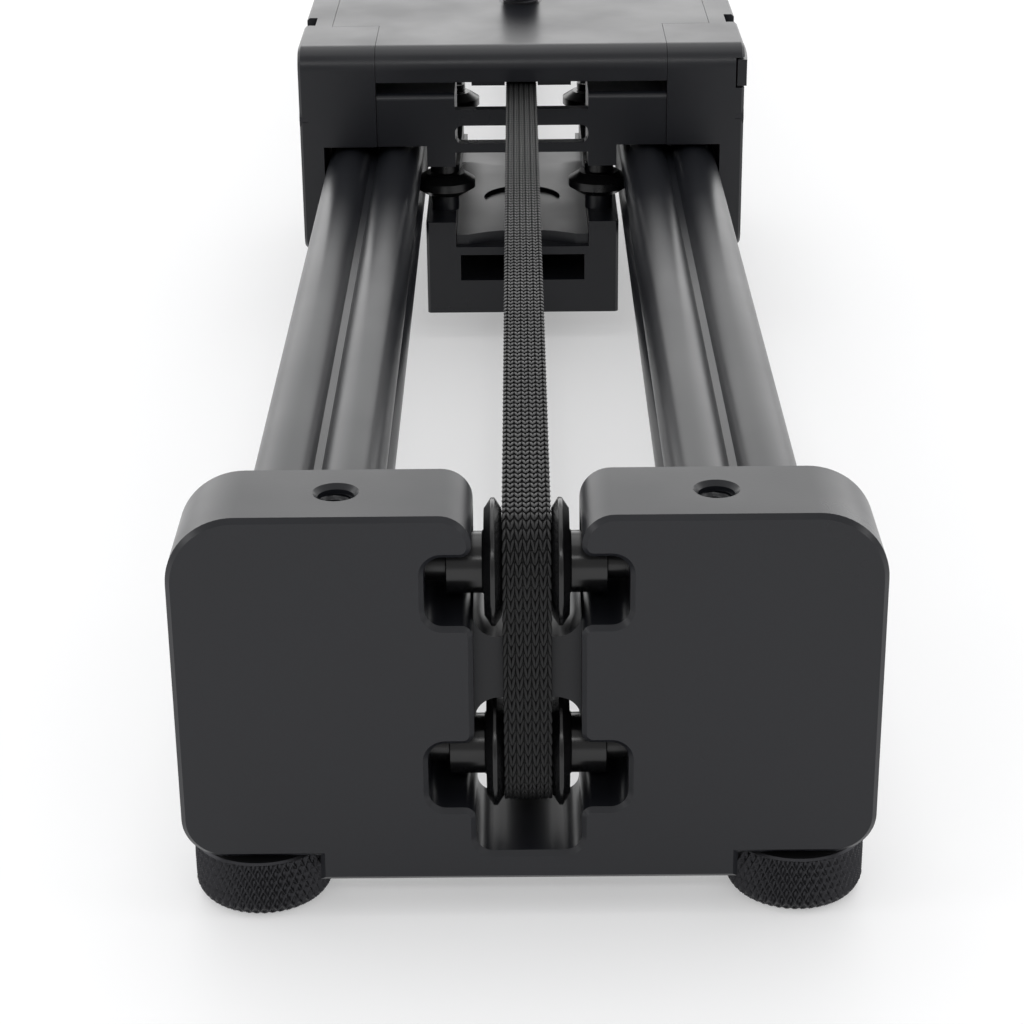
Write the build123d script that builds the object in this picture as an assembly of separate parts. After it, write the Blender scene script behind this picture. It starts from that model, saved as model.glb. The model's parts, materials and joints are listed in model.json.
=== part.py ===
from build123d import *
import math
import os

# Double-travel camera slider. Millimetres, +Z up, +Y along the rails, away from the front end block.
# The origin is on the table, under the middle of the slider.
# The camera carriage and the base carriage ride on the same two rails. A flat belt loop runs round
# two pulleys in each end block: its upper run holds the camera carriage and its lower run the base
# carriage, so the two always move the same distance in opposite directions.

# Overall sizes
SLIDER_LENGTH = 600.0
BLOCK_WIDTH = 100.0
BLOCK_HEIGHT = 57.4
BLOCK_THICKNESS = 18.2
BLOCK_BOTTOM_Z = 6.1

# Outline of an end block
BLOCK_TOP_CORNER = 10.0
BLOCK_BOTTOM_CORNER = 6.0
BLOCK_INNER_CORNER = 4.5
BLOCK_EDGE_CHAMFER = 0.7
FOOT_RECESS_WIDTH = 19.8
FOOT_RECESS_HEIGHT = 4.0

# Belt slot and pulley pockets in an end block
SLOT_WIDTH = 15.25
SLOT_FLOOR_Z = 10.7
SLOT_FLOOR_CORNER = 2.5
POCKET_REACH = 14.3
POCKET_UP = 4.7
POCKET_DOWN = 5.8
POCKET_DEPTH = 14.9
POCKET_CORNER = 2.6
POCKET_NOSE = 1.6
WEB_RECESS = 5.0
WEB_GAP = 0.6
WEB_CORNER = 3.5

# Pulleys, their pins and the belt
UPPER_PULLEY_Z = 52.6
LOWER_PULLEY_Z = 23.6
PULLEY_INSET = 9.4
DRUM_RADIUS = 6.4
BELT_GAP = 0.3
BELT_THICKNESS = 1.5
BELT_WIDTH = 6.8
BELT_SIDE_GAP = 0.1
FLANGE_RADIUS = 9.1
FLANGE_WIDTH = 2.5
FLANGE_RIM_WIDTH = 0.5
FLANGE_SHOULDER = 1.4
HUB_RADIUS = 4.4
HUB_REACH = 11.4
PIN_RADIUS = 2.5
PIN_HALF_LENGTH = 19.0
BEARING_RADIUS = 3.7
BEARING_WIDTH = 3.0
SEAT_GAP = 0.02
RUNNING_GAP = 0.05
PIN_PLUG_RADIUS = 3.0
PIN_PLUG_LENGTH = 5.0

# Rails: four round lobes with a groove on each side
RAIL_X = 34.0
RAIL_Z = 34.8
LOBE_RADIUS = 5.45
GROOVE_FLOOR = 8.05
RAIL_BORE_RADIUS = 3.0
RAIL_SEAT_DEPTH = 5.5
RAIL_FIT_GAP = 0.1
RAIL_SCREW_RADIUS = 1.9
RAIL_SCREW_LENGTH = 8.0
RAIL_SCREW_X = 27.6
RAIL_SCREW_INSET = 2.9

# Tapped accessory holes in the tops of the blocks, 1/4"-20
TAP_QUARTER_RADIUS = 2.6
TAP_QUARTER_DEPTH = 8.0
TAP_QUARTER_X = 26.6
TAP_CHAMFER = 0.7

# Levelling feet
FOOT_X = 39.3
FOOT_WHEEL_RADIUS = 10.2
FOOT_WHEEL_HEIGHT = 9.5
FOOT_EDGE = 2.6
FOOT_STUD_RADIUS = 3.0
FOOT_STUD_TOP_Z = 20.2
FOOT_STUD_SEAT = 6.0
FOOT_BORE_GAP = 0.05
FOOT_WHEEL_GAP = 0.5

# Camera carriage
CAR_LENGTH = 100.0
CAR_WIDTH = 101.2
CAR_TOP_Z = 69.1
COVER_THICKNESS = 7.6
COVER_EDGE_RADIUS = 5.0
COVER_TONGUE_WIDTH = 66.0
COVER_MIDDLE_WIDTH = 88.0
COVER_MIDDLE_LENGTH = 52.0
COVER_POCKET_DEPTH = 2.4
COVER_POCKET_X = (14.0, 30.0)
COVER_POCKET_INSET = 6.0
LEDGE_THICKNESS = 8.5
COVER_SCREW_X = 38.7
COVER_SCREW_Y = 20.0
COVER_SCREW_GRIP = 4.5
BRIDGE_SCREW_INSET = 2.8
BRIDGE_SCREW_Z = 53.0
BRIDGE_SCREW_LENGTH = 26.0
WALL_EDGE_CHAMFER = 0.6
SEAM_GAP = 0.1
SIDE_WALL_INNER_X = 45.3
SIDE_WALL_BOTTOM_Z = 21.6
SIDE_WALL_CORNER = 4.0
RAIL_OPENING_TOP_Z = 46.6
BRIDGE_TOP_Z = 58.7
BRIDGE_BOTTOM_Z = 41.7
BRIDGE_INNER_X = 21.7
BRIDGE_DEPTH = 22.6
BRIDGE_SET_BACK = 0.4
BRIDGE_EDGE = 1.5
TUNNEL_WIDTH = 30.4
UPPER_BAR_TOP_Z = 55.0
UPPER_BAR_BOTTOM_Z = 51.3
LOWER_BAR_TOP_Z = 47.2
BAR_SLOT_CORNER = 1.6
LOWER_BAR_BOTTOM_Z = 45.0
BAR_DEPTH = 3.0

# Rollers of the camera carriage, one above each rail near each end
ROLLER_RADIUS = 7.0
ROLLER_RIM = 2.5
ROLLER_RIM_FLAT = 0.9
ROLLER_CLEARANCE = 0.15
ROLLER_INSET = 13.0
AXLE_RADIUS = 2.0
ROLLER_SIDE_GAP = 0.5
ROLLER_POCKET_GAP = 0.6
AXLE_REACH = 8.5

# Glide pads in the outer grooves of the rails
PAD_LENGTH = 16.0
PAD_HEIGHT = 6.0
PAD_NOSE = 1.2
PAD_CLEARANCE = 0.3
PAD_SEAT_DEPTH = 2.6

# Camera stud, 3/8"-16
STUD_RADIUS = 4.76
STUD_HEIGHT = 9.5
STUD_SHANK_RADIUS = 5.2
STUD_NECK_RADIUS = 4.2
STUD_NECK_HEIGHT = 0.5
STUD_FLANGE_RADIUS = 9.0
STUD_FLANGE_HEIGHT = 2.0

# Base carriage
BASE_LENGTH = 100.0
BASE_WIDTH = 44.6
BASE_BOTTOM_Z = 6.5
BASE_TOP_Z = 28.5
CHANNEL_WIDTH = 28.8
CHANNEL_FLOOR_Z = 14.4
CHANNEL_TOP_Z = 20.6
DECK_INSET = 12.0
LID_WIDTH = 30.6
LID_THICKNESS = 2.6
LID_TOP_Z = 25.1
LID_INSET = 1.5
LID_LENGTH = 61.5
LID_ARC_DEPTH = 3.5
LID_DISH_RADIUS = 9.2
LID_DISH_DEPTH = 0.8
LID_SCREW_X = 10.5
LID_SCREW_INSET = 8.0
LID_ARC_CHORD = 25.0
BASE_ROLLER_X = 18.0
BASE_ROLLER_INSET = 12.0
BASE_EDGE_CHAMFER = 0.6
POST_RADIUS = 3.2
POST_GAP = 0.3
TAP_THREE_EIGHTHS_RADIUS = 4.0
BASE_QUARTER_Y = 20.0
BASE_CLAMP_LENGTH = 9.4
BASE_CLAMP_INSET = 0.6
AXLE_HEAD_RADIUS = 3.4
AXLE_HEAD_HEIGHT = 1.8
AXLE_SINK = 6.5

# Belt clamps and screws
CLAMP_WIDTH = 22.6
CLAMP_LENGTH = 24.0
CLAMP_INSET = 2.0
CLAMP_LIP = 1.3
CLAMP_SCREW_X = 7.7
CLAMP_SCREW_Y = 8.0
CLAMP_BELT_GAP = 0.35
CLAMP_JAW = 2.2
SCREW_RADIUS = 1.5
SCREW_HEAD_RADIUS = 2.75
SCREW_HEAD_HEIGHT = 2.0
SCREW_GAP = 0.1

# Lock lever on the right-hand side of the camera carriage
LEVER_PIVOT_X = 47.6
LEVER_PIVOT_Y = -13.0
LEVER_TIP_INSET = 0.4
LEVER_BOTTOM_Z = 60.0
LEVER_HEIGHT = 6.0
LEVER_BOSS_RADIUS = 2.6
LEVER_PIN_RADIUS = 1.2
LEVER_INNER_X = 49.0
LEVER_OUTER_X = 51.5
LEVER_CLEARANCE = 0.4
NOTCH_DEPTH = 2.5
NOTCH_LENGTH = 8.0
NOTCH_Y = -21.0

# Places that follow from the sizes above
BLOCK_TOP_Z = BLOCK_BOTTOM_Z + BLOCK_HEIGHT
HALF_LENGTH = SLIDER_LENGTH / 2
HALF_WIDTH = BLOCK_WIDTH / 2
BLOCK_INNER_Y = HALF_LENGTH - BLOCK_THICKNESS
PULLEY_Y = HALF_LENGTH - PULLEY_INSET
SLOT_HALF = SLOT_WIDTH / 2
PIN_PLUG_INNER_X = HALF_WIDTH - BLOCK_EDGE_CHAMFER - PIN_PLUG_LENGTH
BELT_INNER_RADIUS = DRUM_RADIUS + BELT_GAP
BELT_OUTER_RADIUS = BELT_INNER_RADIUS + BELT_THICKNESS
FLANGE_INNER_X = BELT_WIDTH / 2 + BELT_SIDE_GAP
FLANGE_OUTER_X = FLANGE_INNER_X + FLANGE_WIDTH
UPPER_RUN_Z = UPPER_PULLEY_Z + BELT_INNER_RADIUS
LOWER_RUN_Z = LOWER_PULLEY_Z - BELT_INNER_RADIUS
WEB_TOP_Z = UPPER_PULLEY_Z - FLANGE_RADIUS - WEB_GAP
WEB_BOTTOM_Z = LOWER_PULLEY_Z + FLANGE_RADIUS + WEB_GAP
FOOT_CEILING_Z = BLOCK_BOTTOM_Z + FOOT_RECESS_HEIGHT
FOOT_RECESS_X = HALF_WIDTH - FOOT_RECESS_WIDTH
LOBE_REACH = 2 * LOBE_RADIUS
RAIL_BOTTOM_Z = RAIL_Z - LOBE_REACH
RAIL_HALF_LENGTH = BLOCK_INNER_Y + RAIL_SEAT_DEPTH - RAIL_FIT_GAP
COVER_BOTTOM_Z = CAR_TOP_Z - COVER_THICKNESS
CAR_HALF = CAR_LENGTH / 2
CAR_SIDE_X = CAR_WIDTH / 2
BASE_HALF = BASE_LENGTH / 2
ROLLER_Y = CAR_HALF - ROLLER_INSET
COVER_POCKET_Y = CAR_HALF - COVER_POCKET_INSET
BRIDGE_SCREW_Y = CAR_HALF - BRIDGE_SCREW_INSET
CLAMP_FRONT_Y = -CAR_HALF + CLAMP_INSET
LEVER_TIP_Y = -CAR_HALF + LEVER_TIP_INSET
BASE_ROLLER_Y = BASE_HALF - BASE_ROLLER_INSET
DECK_REAR_Y = BASE_HALF - DECK_INSET
LID_FRONT_Y = -BASE_HALF + LID_INSET
LID_REAR_Y = LID_FRONT_Y + LID_LENGTH
SIDES = (("left", -1), ("right", 1))
ENDS = (("front", -1), ("rear", 1))
LEVELS = (("upper", UPPER_PULLEY_Z), ("lower", LOWER_PULLEY_Z))


def block_between(x0, x1, y0, y1, z0, z1):
    """A plain block given by its lowest and highest corner on each axis."""
    size = Box(x1 - x0, y1 - y0, z1 - z0)
    return Pos((x0 + x1) / 2, (y0 + y1) / 2, (z0 + z1) / 2) * size


def rod_between(radius, start, end):
    """A round bar from one point to another."""
    run = Vector(*end) - Vector(*start)
    plane = Plane(origin=start, z_dir=run)
    return plane * Cylinder(radius, run.length, align=(Align.CENTER, Align.CENTER, Align.MIN))


def slab_xz(sketch, y0, y1):
    """A front-view outline, drawn with x to the right and y up, made solid from y0 to y1."""
    plane = Plane(origin=(0, y0, 0), x_dir=(1, 0, 0), z_dir=(0, -1, 0))
    return extrude(plane * sketch, amount=-(y1 - y0))


def slab_xy(sketch, z0, z1):
    """A plan-view outline made solid from z0 to z1."""
    return extrude(Plane.XY.offset(z0) * sketch, amount=z1 - z0)


def mirrored(shape, end):
    """The shape as drawn at the front, or its mirror image for the rear."""
    if end < 0:
        return shape
    return mirror(shape, about=Plane.XZ)


def sided(shape, side):
    """The shape as drawn on the right, or its mirror image for the left."""
    if side > 0:
        return shape
    return mirror(shape, about=Plane.YZ)


def rect(x0, x1, y0, y1):
    """A flat rectangle between two corners."""
    return Pos((x0 + x1) / 2, (y0 + y1) / 2) * Rectangle(x1 - x0, y1 - y0)


def save(name, shapes):
    """Write one node, as one solid or as a group of separate solids."""
    solids = []
    for shape in shapes if isinstance(shapes, list) else [shapes]:
        solids.extend(shape.solids())
    body = solids[0] if len(solids) == 1 else Compound(children=solids)
    body.label = name
    export_step(body, os.path.join("parts", name + ".step"))
    print(name, len(solids), "solids", round(sum(s.volume for s in solids)), "mm3")


def slab_yz(sketch, x0, x1):
    """A side-view outline, drawn with y to the right and z up, made solid from x0 to x1."""
    plane = Plane(origin=(x0, 0, 0), x_dir=(0, 1, 0), z_dir=(1, 0, 0))
    return extrude(plane * sketch, amount=x1 - x0)


def rounded(sketch, places, radius):
    """The outline with the corners that lie at the given places rounded."""
    near = [v for v in sketch.vertices() for p in places if math.dist((v.X, v.Y), p) < SEAM_GAP / 2]
    return fillet(near, radius)


def ring(outer, inner, length):
    """A round tube section centred on the origin, along Z."""
    return Cylinder(outer, length) - Cylinder(inner, length + 1)


def along_x(shape, x, y, z):
    """A shape drawn round the Z axis, laid along X and moved to its place."""
    return Pos(x, y, z) * Rot(0, 90, 0) * shape


# End blocks
def block_outline():
    """Front view of the block without its slot: round shoulders and a step over each foot."""
    top, low = BLOCK_TOP_Z, FOOT_CEILING_Z
    outline = rect(-HALF_WIDTH, HALF_WIDTH, low, top)
    outline = outline + rect(-FOOT_RECESS_X, FOOT_RECESS_X, BLOCK_BOTTOM_Z, top)
    outline = rounded(outline, [(-HALF_WIDTH, top), (HALF_WIDTH, top)], BLOCK_TOP_CORNER)
    return rounded(outline, [(-HALF_WIDTH, low), (HALF_WIDTH, low)], BLOCK_BOTTOM_CORNER)


def pocket_outline():
    """Front view of the belt slot, open at the top, with the cross-shaped pockets that the hubs drop into."""
    top = BLOCK_TOP_Z
    shape = rect(-SLOT_HALF, SLOT_HALF, SLOT_FLOOR_Z, top)
    shape = rounded(shape, [(-SLOT_HALF, SLOT_FLOOR_Z), (SLOT_HALF, SLOT_FLOOR_Z)], SLOT_FLOOR_CORNER)
    for _, z in LEVELS:
        pocket = rect(-POCKET_REACH, POCKET_REACH, z - POCKET_DOWN, z + POCKET_UP)
        shape = shape + fillet(pocket.vertices(), POCKET_CORNER)
    noses = [(s * SLOT_HALF, z + e) for s in (-1, 1) for _, z in LEVELS for e in (POCKET_UP, -POCKET_DOWN)]
    return rounded(shape, noses, POCKET_NOSE)


def shoulder_waste():
    """Front view of what the two inner top corners of the slot lose to their rounding."""
    r, top = BLOCK_INNER_CORNER, BLOCK_TOP_Z
    waste = rect(-SLOT_HALF - r, SLOT_HALF + r, top - r, top)
    for s in (-1, 1):
        waste = waste - Pos(s * (SLOT_HALF + r), top - r) * Circle(r)
    return waste


def window_outline():
    """Front view of the two windows behind the pulleys, one above and one below the web."""
    top = BLOCK_TOP_Z
    upper = rect(-SLOT_HALF, SLOT_HALF, WEB_TOP_Z, top)
    upper = rounded(upper, [(-SLOT_HALF, WEB_TOP_Z), (SLOT_HALF, WEB_TOP_Z)], WEB_CORNER)
    lower = rect(-SLOT_HALF, SLOT_HALF, SLOT_FLOOR_Z, WEB_BOTTOM_Z)
    lower = rounded(lower, [(-SLOT_HALF, WEB_BOTTOM_Z), (SLOT_HALF, WEB_BOTTOM_Z)], WEB_CORNER)
    lower = rounded(lower, [(-SLOT_HALF, SLOT_FLOOR_Z), (SLOT_HALF, SLOT_FLOOR_Z)], SLOT_FLOOR_CORNER)
    return upper + lower


def rail_outline(grow):
    """End view of a rail about its centre: four round lobes joined by a cross with flat floors."""
    reach = GROOVE_FLOOR + grow
    outline = rect(-reach, reach, -LOBE_RADIUS, LOBE_RADIUS) + rect(-LOBE_RADIUS, LOBE_RADIUS, -reach, reach)
    for x in (-LOBE_RADIUS, LOBE_RADIUS):
        for z in (-LOBE_RADIUS, LOBE_RADIUS):
            outline = outline + Pos(x, z) * Circle(LOBE_RADIUS + grow)
    return outline


def end_block():
    """The front end block."""
    front, back = -HALF_LENGTH, -BLOCK_INNER_Y
    body = slab_xz(block_outline() - shoulder_waste(), front, back)
    body = body - slab_xz(pocket_outline(), front, front + POCKET_DEPTH)
    body = chamfer(body.faces().sort_by(Axis.Y)[0].outer_wire().edges(), BLOCK_EDGE_CHAMFER)
    body = body + web() - slab_xz(window_outline(), front, back)
    body = chamfer(body.faces().sort_by(Axis.Y)[-1].outer_wire().edges(), BLOCK_EDGE_CHAMFER)
    for _, z in LEVELS:
        hole_start, hole_end = (-PIN_HALF_LENGTH, -PULLEY_Y, z), (HALF_WIDTH, -PULLEY_Y, z)
        body = body - rod_between(PIN_RADIUS + SEAT_GAP, hole_start, hole_end)
        body = body - rod_between(PIN_PLUG_RADIUS + SEAT_GAP, (PIN_PLUG_INNER_X, -PULLEY_Y, z), hole_end)
    for _, s in SIDES:
        socket = Pos(s * RAIL_X, RAIL_Z) * rail_outline(RAIL_FIT_GAP)
        body = body - slab_xz(socket, back - RAIL_SEAT_DEPTH, back)
        x, y = s * RAIL_SCREW_X, back - RAIL_SCREW_INSET
        body = body - rod_between(RAIL_SCREW_RADIUS + SEAT_GAP, (x, y, 0), (x, y, RAIL_Z))
        mouth = Plane(origin=(s * TAP_QUARTER_X, -PULLEY_Y, BLOCK_TOP_Z))
        body = body - mouth * Cylinder(TAP_QUARTER_RADIUS, 2 * TAP_QUARTER_DEPTH)
        body = body - mouth * tap_mouth(TAP_QUARTER_RADIUS)
        foot = (s * FOOT_X, -PULLEY_Y)
        bore = FOOT_STUD_RADIUS + FOOT_BORE_GAP
        body = body - rod_between(bore, (*foot, 0), (*foot, FOOT_STUD_TOP_Z + RUNNING_GAP))
        body = body - rod_between(FOOT_WHEEL_RADIUS + FOOT_WHEEL_GAP, (*foot, 0), (*foot, FOOT_CEILING_Z))
    return body


def tap_mouth(bore):
    """The cone that opens the mouth of a tapped hole, under the face that it lies in."""
    return Cone(bore, bore + TAP_CHAMFER, TAP_CHAMFER, align=(Align.CENTER, Align.CENTER, Align.MAX))


def web():
    """The bridge across the slot between the two pulleys, before its windows are cut."""
    y0, y1 = -HALF_LENGTH + WEB_RECESS, -BLOCK_INNER_Y
    return block_between(-SLOT_HALF, SLOT_HALF, y0, y1, WEB_BOTTOM_Z - WEB_CORNER, WEB_TOP_Z + WEB_CORNER)


# Belt, pulleys and their pins
def belt():
    """The belt loop, seen from the side as one rounded rectangle inside another."""
    loops = []
    for radius in (BELT_OUTER_RADIUS, BELT_INNER_RADIUS):
        y, z0, z1 = PULLEY_Y + radius, LOWER_PULLEY_Z - radius, UPPER_PULLEY_Z + radius
        loop = rect(-y, y, z0, z1)
        loops.append(fillet(loop.vertices(), radius))
    return slab_yz(loops[0] - loops[1], -BELT_WIDTH / 2, BELT_WIDTH / 2)


def pulley():
    """A pulley round the Z axis: drum, two flanges that taper to a thin rim, and two hubs."""
    shoulder = FLANGE_RADIUS - FLANGE_SHOULDER
    middle = (FLANGE_INNER_X + FLANGE_OUTER_X) / 2
    half_rim = FLANGE_RIM_WIDTH / 2
    half = [
        (DRUM_RADIUS, 0), (DRUM_RADIUS, FLANGE_INNER_X), (shoulder, FLANGE_INNER_X),
        (FLANGE_RADIUS, middle - half_rim), (FLANGE_RADIUS, middle + half_rim),
        (shoulder, FLANGE_OUTER_X), (HUB_RADIUS, FLANGE_OUTER_X), (HUB_RADIUS, HUB_REACH),
        (BEARING_RADIUS, HUB_REACH), (BEARING_RADIUS, 0),
    ]
    outline = half + [(r, -x) for r, x in reversed(half[1:-1])]
    face = make_face(Plane.XZ * Polyline(*outline, close=True))
    return revolve(face, Axis.Z)


def pulley_places():
    """Name and centre of each pulley."""
    for end, e in ENDS:
        for level, z in LEVELS:
            yield end + "_" + level, (0, e * PULLEY_Y, z)


def bearings(place):
    """The two bearings of one pulley, pressed into its hubs and running on its pin."""
    x = HUB_REACH - BEARING_WIDTH / 2
    bush = ring(BEARING_RADIUS - SEAT_GAP, PIN_RADIUS + RUNNING_GAP, BEARING_WIDTH)
    return [along_x(bush, s * x, place[1], place[2]) for _, s in SIDES]


def pulley_pin(place):
    """A pin through both walls of the slot."""
    x, y, z = place
    return rod_between(PIN_RADIUS, (x - PIN_HALF_LENGTH, y, z), (x + PIN_HALF_LENGTH, y, z))


def pin_plug(place):
    """The set screw that closes a pin's bore on the right-hand side, with its hexagon socket."""
    _, y, z = place
    outer = HALF_WIDTH - BLOCK_EDGE_CHAMFER
    plug = rod_between(PIN_PLUG_RADIUS, (PIN_PLUG_INNER_X, y, z), (outer, y, z))
    socket = extrude(RegularPolygon(PIN_PLUG_RADIUS / 2, 6), amount=PIN_PLUG_LENGTH / 2)
    return plug - along_x(socket, outer - PIN_PLUG_LENGTH / 2, y, z)


# Rails and their set screws
def rail(side):
    """One rail, its four lobes bored through from end to end."""
    outline = rail_outline(0)
    for x in (-LOBE_RADIUS, LOBE_RADIUS):
        for z in (-LOBE_RADIUS, LOBE_RADIUS):
            outline = outline - Pos(x, z) * Circle(RAIL_BORE_RADIUS)
    return slab_xz(Pos(side * RAIL_X, RAIL_Z) * outline, -RAIL_HALF_LENGTH, RAIL_HALF_LENGTH)


def rail_screws():
    """Set screws that press on each rail's lower lobe from under the block."""
    screws = []
    for _, e in ENDS:
        for _, s in SIDES:
            x, y = s * RAIL_SCREW_X, e * (BLOCK_INNER_Y + RAIL_SCREW_INSET)
            low, high = (x, y, RAIL_BOTTOM_Z - RAIL_SCREW_LENGTH), (x, y, RAIL_BOTTOM_Z)
            screws.append(rod_between(RAIL_SCREW_RADIUS, low, high))
    return screws


# Levelling feet
def foot_stud(x, y):
    """The threaded stud of a foot, running up into the block."""
    return rod_between(FOOT_STUD_RADIUS, (x, y, FOOT_WHEEL_HEIGHT - FOOT_STUD_SEAT), (x, y, FOOT_STUD_TOP_Z))


def foot_wheel(x, y):
    """The thumb wheel of a foot: a thick disc with a round lower edge."""
    wheel = Cylinder(FOOT_WHEEL_RADIUS, FOOT_WHEEL_HEIGHT, align=(Align.CENTER, Align.CENTER, Align.MIN))
    wheel = fillet(wheel.edges().sort_by(Axis.Z)[0], FOOT_EDGE)
    seat = FOOT_WHEEL_HEIGHT - FOOT_STUD_SEAT - RUNNING_GAP
    wheel = wheel - rod_between(FOOT_STUD_RADIUS + RUNNING_GAP, (0, 0, seat), (0, 0, FOOT_WHEEL_HEIGHT + 1))
    return Pos(x, y, 0) * wheel


# Rollers
def rim_offset():
    """How far a roller's rim centre lies from the line through a groove's two lobe centres."""
    reach = LOBE_RADIUS + ROLLER_RIM + ROLLER_CLEARANCE
    return math.sqrt(reach ** 2 - LOBE_RADIUS ** 2)


def roller(radius):
    """A roller round the Z axis, with a rim that narrows to run in a rail groove."""
    bore, shoulder = AXLE_RADIUS + RUNNING_GAP, radius - ROLLER_RIM
    half = [(bore, ROLLER_RIM), (shoulder, ROLLER_RIM), (radius, ROLLER_RIM_FLAT)]
    outline = half + [(r, -z) for r, z in reversed(half)]
    return revolve(make_face(Plane.XZ * Polyline(*outline, close=True)), Axis.Z)


ROLLER_Z = RAIL_Z + LOBE_RADIUS + rim_offset() + ROLLER_RADIUS - ROLLER_RIM
BASE_ROLLER_RADIUS = RAIL_X - LOBE_RADIUS - rim_offset() + ROLLER_RIM - BASE_ROLLER_X


# Camera carriage
def carriage_profile(bottom):
    """Side view of the carriage from a given height up, with its two round top edges."""
    outline = rect(-CAR_HALF, CAR_HALF, bottom, CAR_TOP_Z)
    return rounded(outline, [(-CAR_HALF, CAR_TOP_Z), (CAR_HALF, CAR_TOP_Z)], COVER_EDGE_RADIUS)


def screw(start, end):
    """A cap screw from its head's outer face to the end of its shank."""
    run = (Vector(*end) - Vector(*start)).normalized()
    collar = Vector(*start) + run * SCREW_HEAD_HEIGHT
    return rod_between(SCREW_HEAD_RADIUS, start, tuple(collar)) + rod_between(SCREW_RADIUS, start, end)


def screw_hole(start, end):
    """The counterbored hole that a screw sits in."""
    run = (Vector(*end) - Vector(*start)).normalized()
    collar = Vector(*start) + run * SCREW_HEAD_HEIGHT
    outside = Vector(*start) - run
    hole = rod_between(SCREW_HEAD_RADIUS + SCREW_GAP, tuple(outside), tuple(collar))
    return hole + rod_between(SCREW_RADIUS + SEAT_GAP, start, end)


def cover():
    """The top plate: a tongue to each end between the side frames, and a wider middle."""
    half_tongue, half_middle = COVER_TONGUE_WIDTH / 2, COVER_MIDDLE_WIDTH / 2
    y = COVER_MIDDLE_LENGTH / 2
    plate = slab_yz(carriage_profile(COVER_BOTTOM_Z), -half_tongue, half_tongue)
    plate = plate + block_between(-half_middle, half_middle, -y, y, COVER_BOTTOM_Z, CAR_TOP_Z)
    x0, x1 = COVER_POCKET_X
    for _, s in SIDES:
        low, high = sorted((s * x0, s * x1))
        pocket_top = COVER_BOTTOM_Z + COVER_POCKET_DEPTH
        plate = plate - block_between(low, high, -COVER_POCKET_Y, COVER_POCKET_Y, COVER_BOTTOM_Z, pocket_top)
    plate = plate - Pos(0, 0, CAR_TOP_Z) * Cylinder(STUD_SHANK_RADIUS + SEAT_GAP, 3 * COVER_THICKNESS)
    flange_top = (0, 0, COVER_BOTTOM_Z + STUD_FLANGE_HEIGHT)
    plate = plate - rod_between(STUD_FLANGE_RADIUS + SEAT_GAP, (0, 0, COVER_BOTTOM_Z), flange_top)
    for start, end in cover_screw_lines() + clamp_screw_lines():
        plate = plate - rod_between(SCREW_RADIUS + SEAT_GAP, start, end)
    return plate


def cover_screw_lines():
    """Start and end of each screw that holds the cover from below, through a side frame's ledge."""
    z0, z1 = COVER_BOTTOM_Z - LEDGE_THICKNESS, COVER_BOTTOM_Z + COVER_SCREW_GRIP
    return [((s * COVER_SCREW_X, e * COVER_SCREW_Y, z0), (s * COVER_SCREW_X, e * COVER_SCREW_Y, z1))
            for _, s in SIDES for _, e in ENDS]


def clamp_screw_lines():
    """Start and end of each screw through the upper belt clamp into the cover."""
    z0 = UPPER_RUN_Z - CLAMP_BELT_GAP - CLAMP_JAW - SCREW_HEAD_HEIGHT
    z1 = COVER_BOTTOM_Z + COVER_SCREW_GRIP
    return [((s * CLAMP_SCREW_X, e * CLAMP_SCREW_Y, z0), (s * CLAMP_SCREW_X, e * CLAMP_SCREW_Y, z1))
            for _, s in SIDES for _, e in ENDS]


def bridge_screw_lines():
    """Start and end of each screw that ties a side frame to a bridge."""
    x0, x1 = CAR_SIDE_X, CAR_SIDE_X - BRIDGE_SCREW_LENGTH
    return [((s * x0, e * BRIDGE_SCREW_Y, BRIDGE_SCREW_Z), (s * x1, e * BRIDGE_SCREW_Y, BRIDGE_SCREW_Z))
            for _, s in SIDES for _, e in ENDS]


def roller_axle(side, end):
    """The axle of a top roller, held on one side by a bridge and on the other by a side frame."""
    x, y = side * RAIL_X, end * ROLLER_Y
    return rod_between(AXLE_RADIUS, (x - AXLE_REACH, y, ROLLER_Z), (x + AXLE_REACH, y, ROLLER_Z))


def roller_pockets():
    """The room that the four top rollers turn in, open above."""
    reach = ROLLER_RADIUS + ROLLER_POCKET_GAP
    half = ROLLER_RIM + ROLLER_SIDE_GAP
    rooms = []
    for _, s in SIDES:
        for _, e in ENDS:
            y = e * ROLLER_Y
            x0, x1 = s * RAIL_X - half, s * RAIL_X + half
            rooms.append(block_between(x0, x1, y - reach, y + reach, RAIL_Z, ROLLER_Z + reach))
    return rooms


def pad_outline(grow):
    """Front view of a glide pad on the right: a body in the wall and a round nose in the groove."""
    reach = LOBE_RADIUS + PAD_NOSE + PAD_CLEARANCE
    nose_x = RAIL_X + LOBE_RADIUS + math.sqrt(reach ** 2 - LOBE_RADIUS ** 2)
    half = PAD_HEIGHT / 2
    wall = SIDE_WALL_INNER_X
    corners = [(nose_x, -PAD_NOSE), (wall, -half), (wall, half), (nose_x, PAD_NOSE)]
    wedge = make_face(Polyline(*corners, close=True))
    seat = rect(wall, wall + PAD_SEAT_DEPTH + grow, -half - grow, half + grow)
    return Pos(0, RAIL_Z) * (seat + wedge + Pos(nose_x, 0) * Circle(PAD_NOSE))


def glide_pads(side):
    """The two glide pads of one side, near the ends of its wall."""
    half = PAD_LENGTH / 2
    return [sided(slab_xz(pad_outline(0), e * ROLLER_Y - half, e * ROLLER_Y + half), side) for _, e in ENDS]


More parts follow.
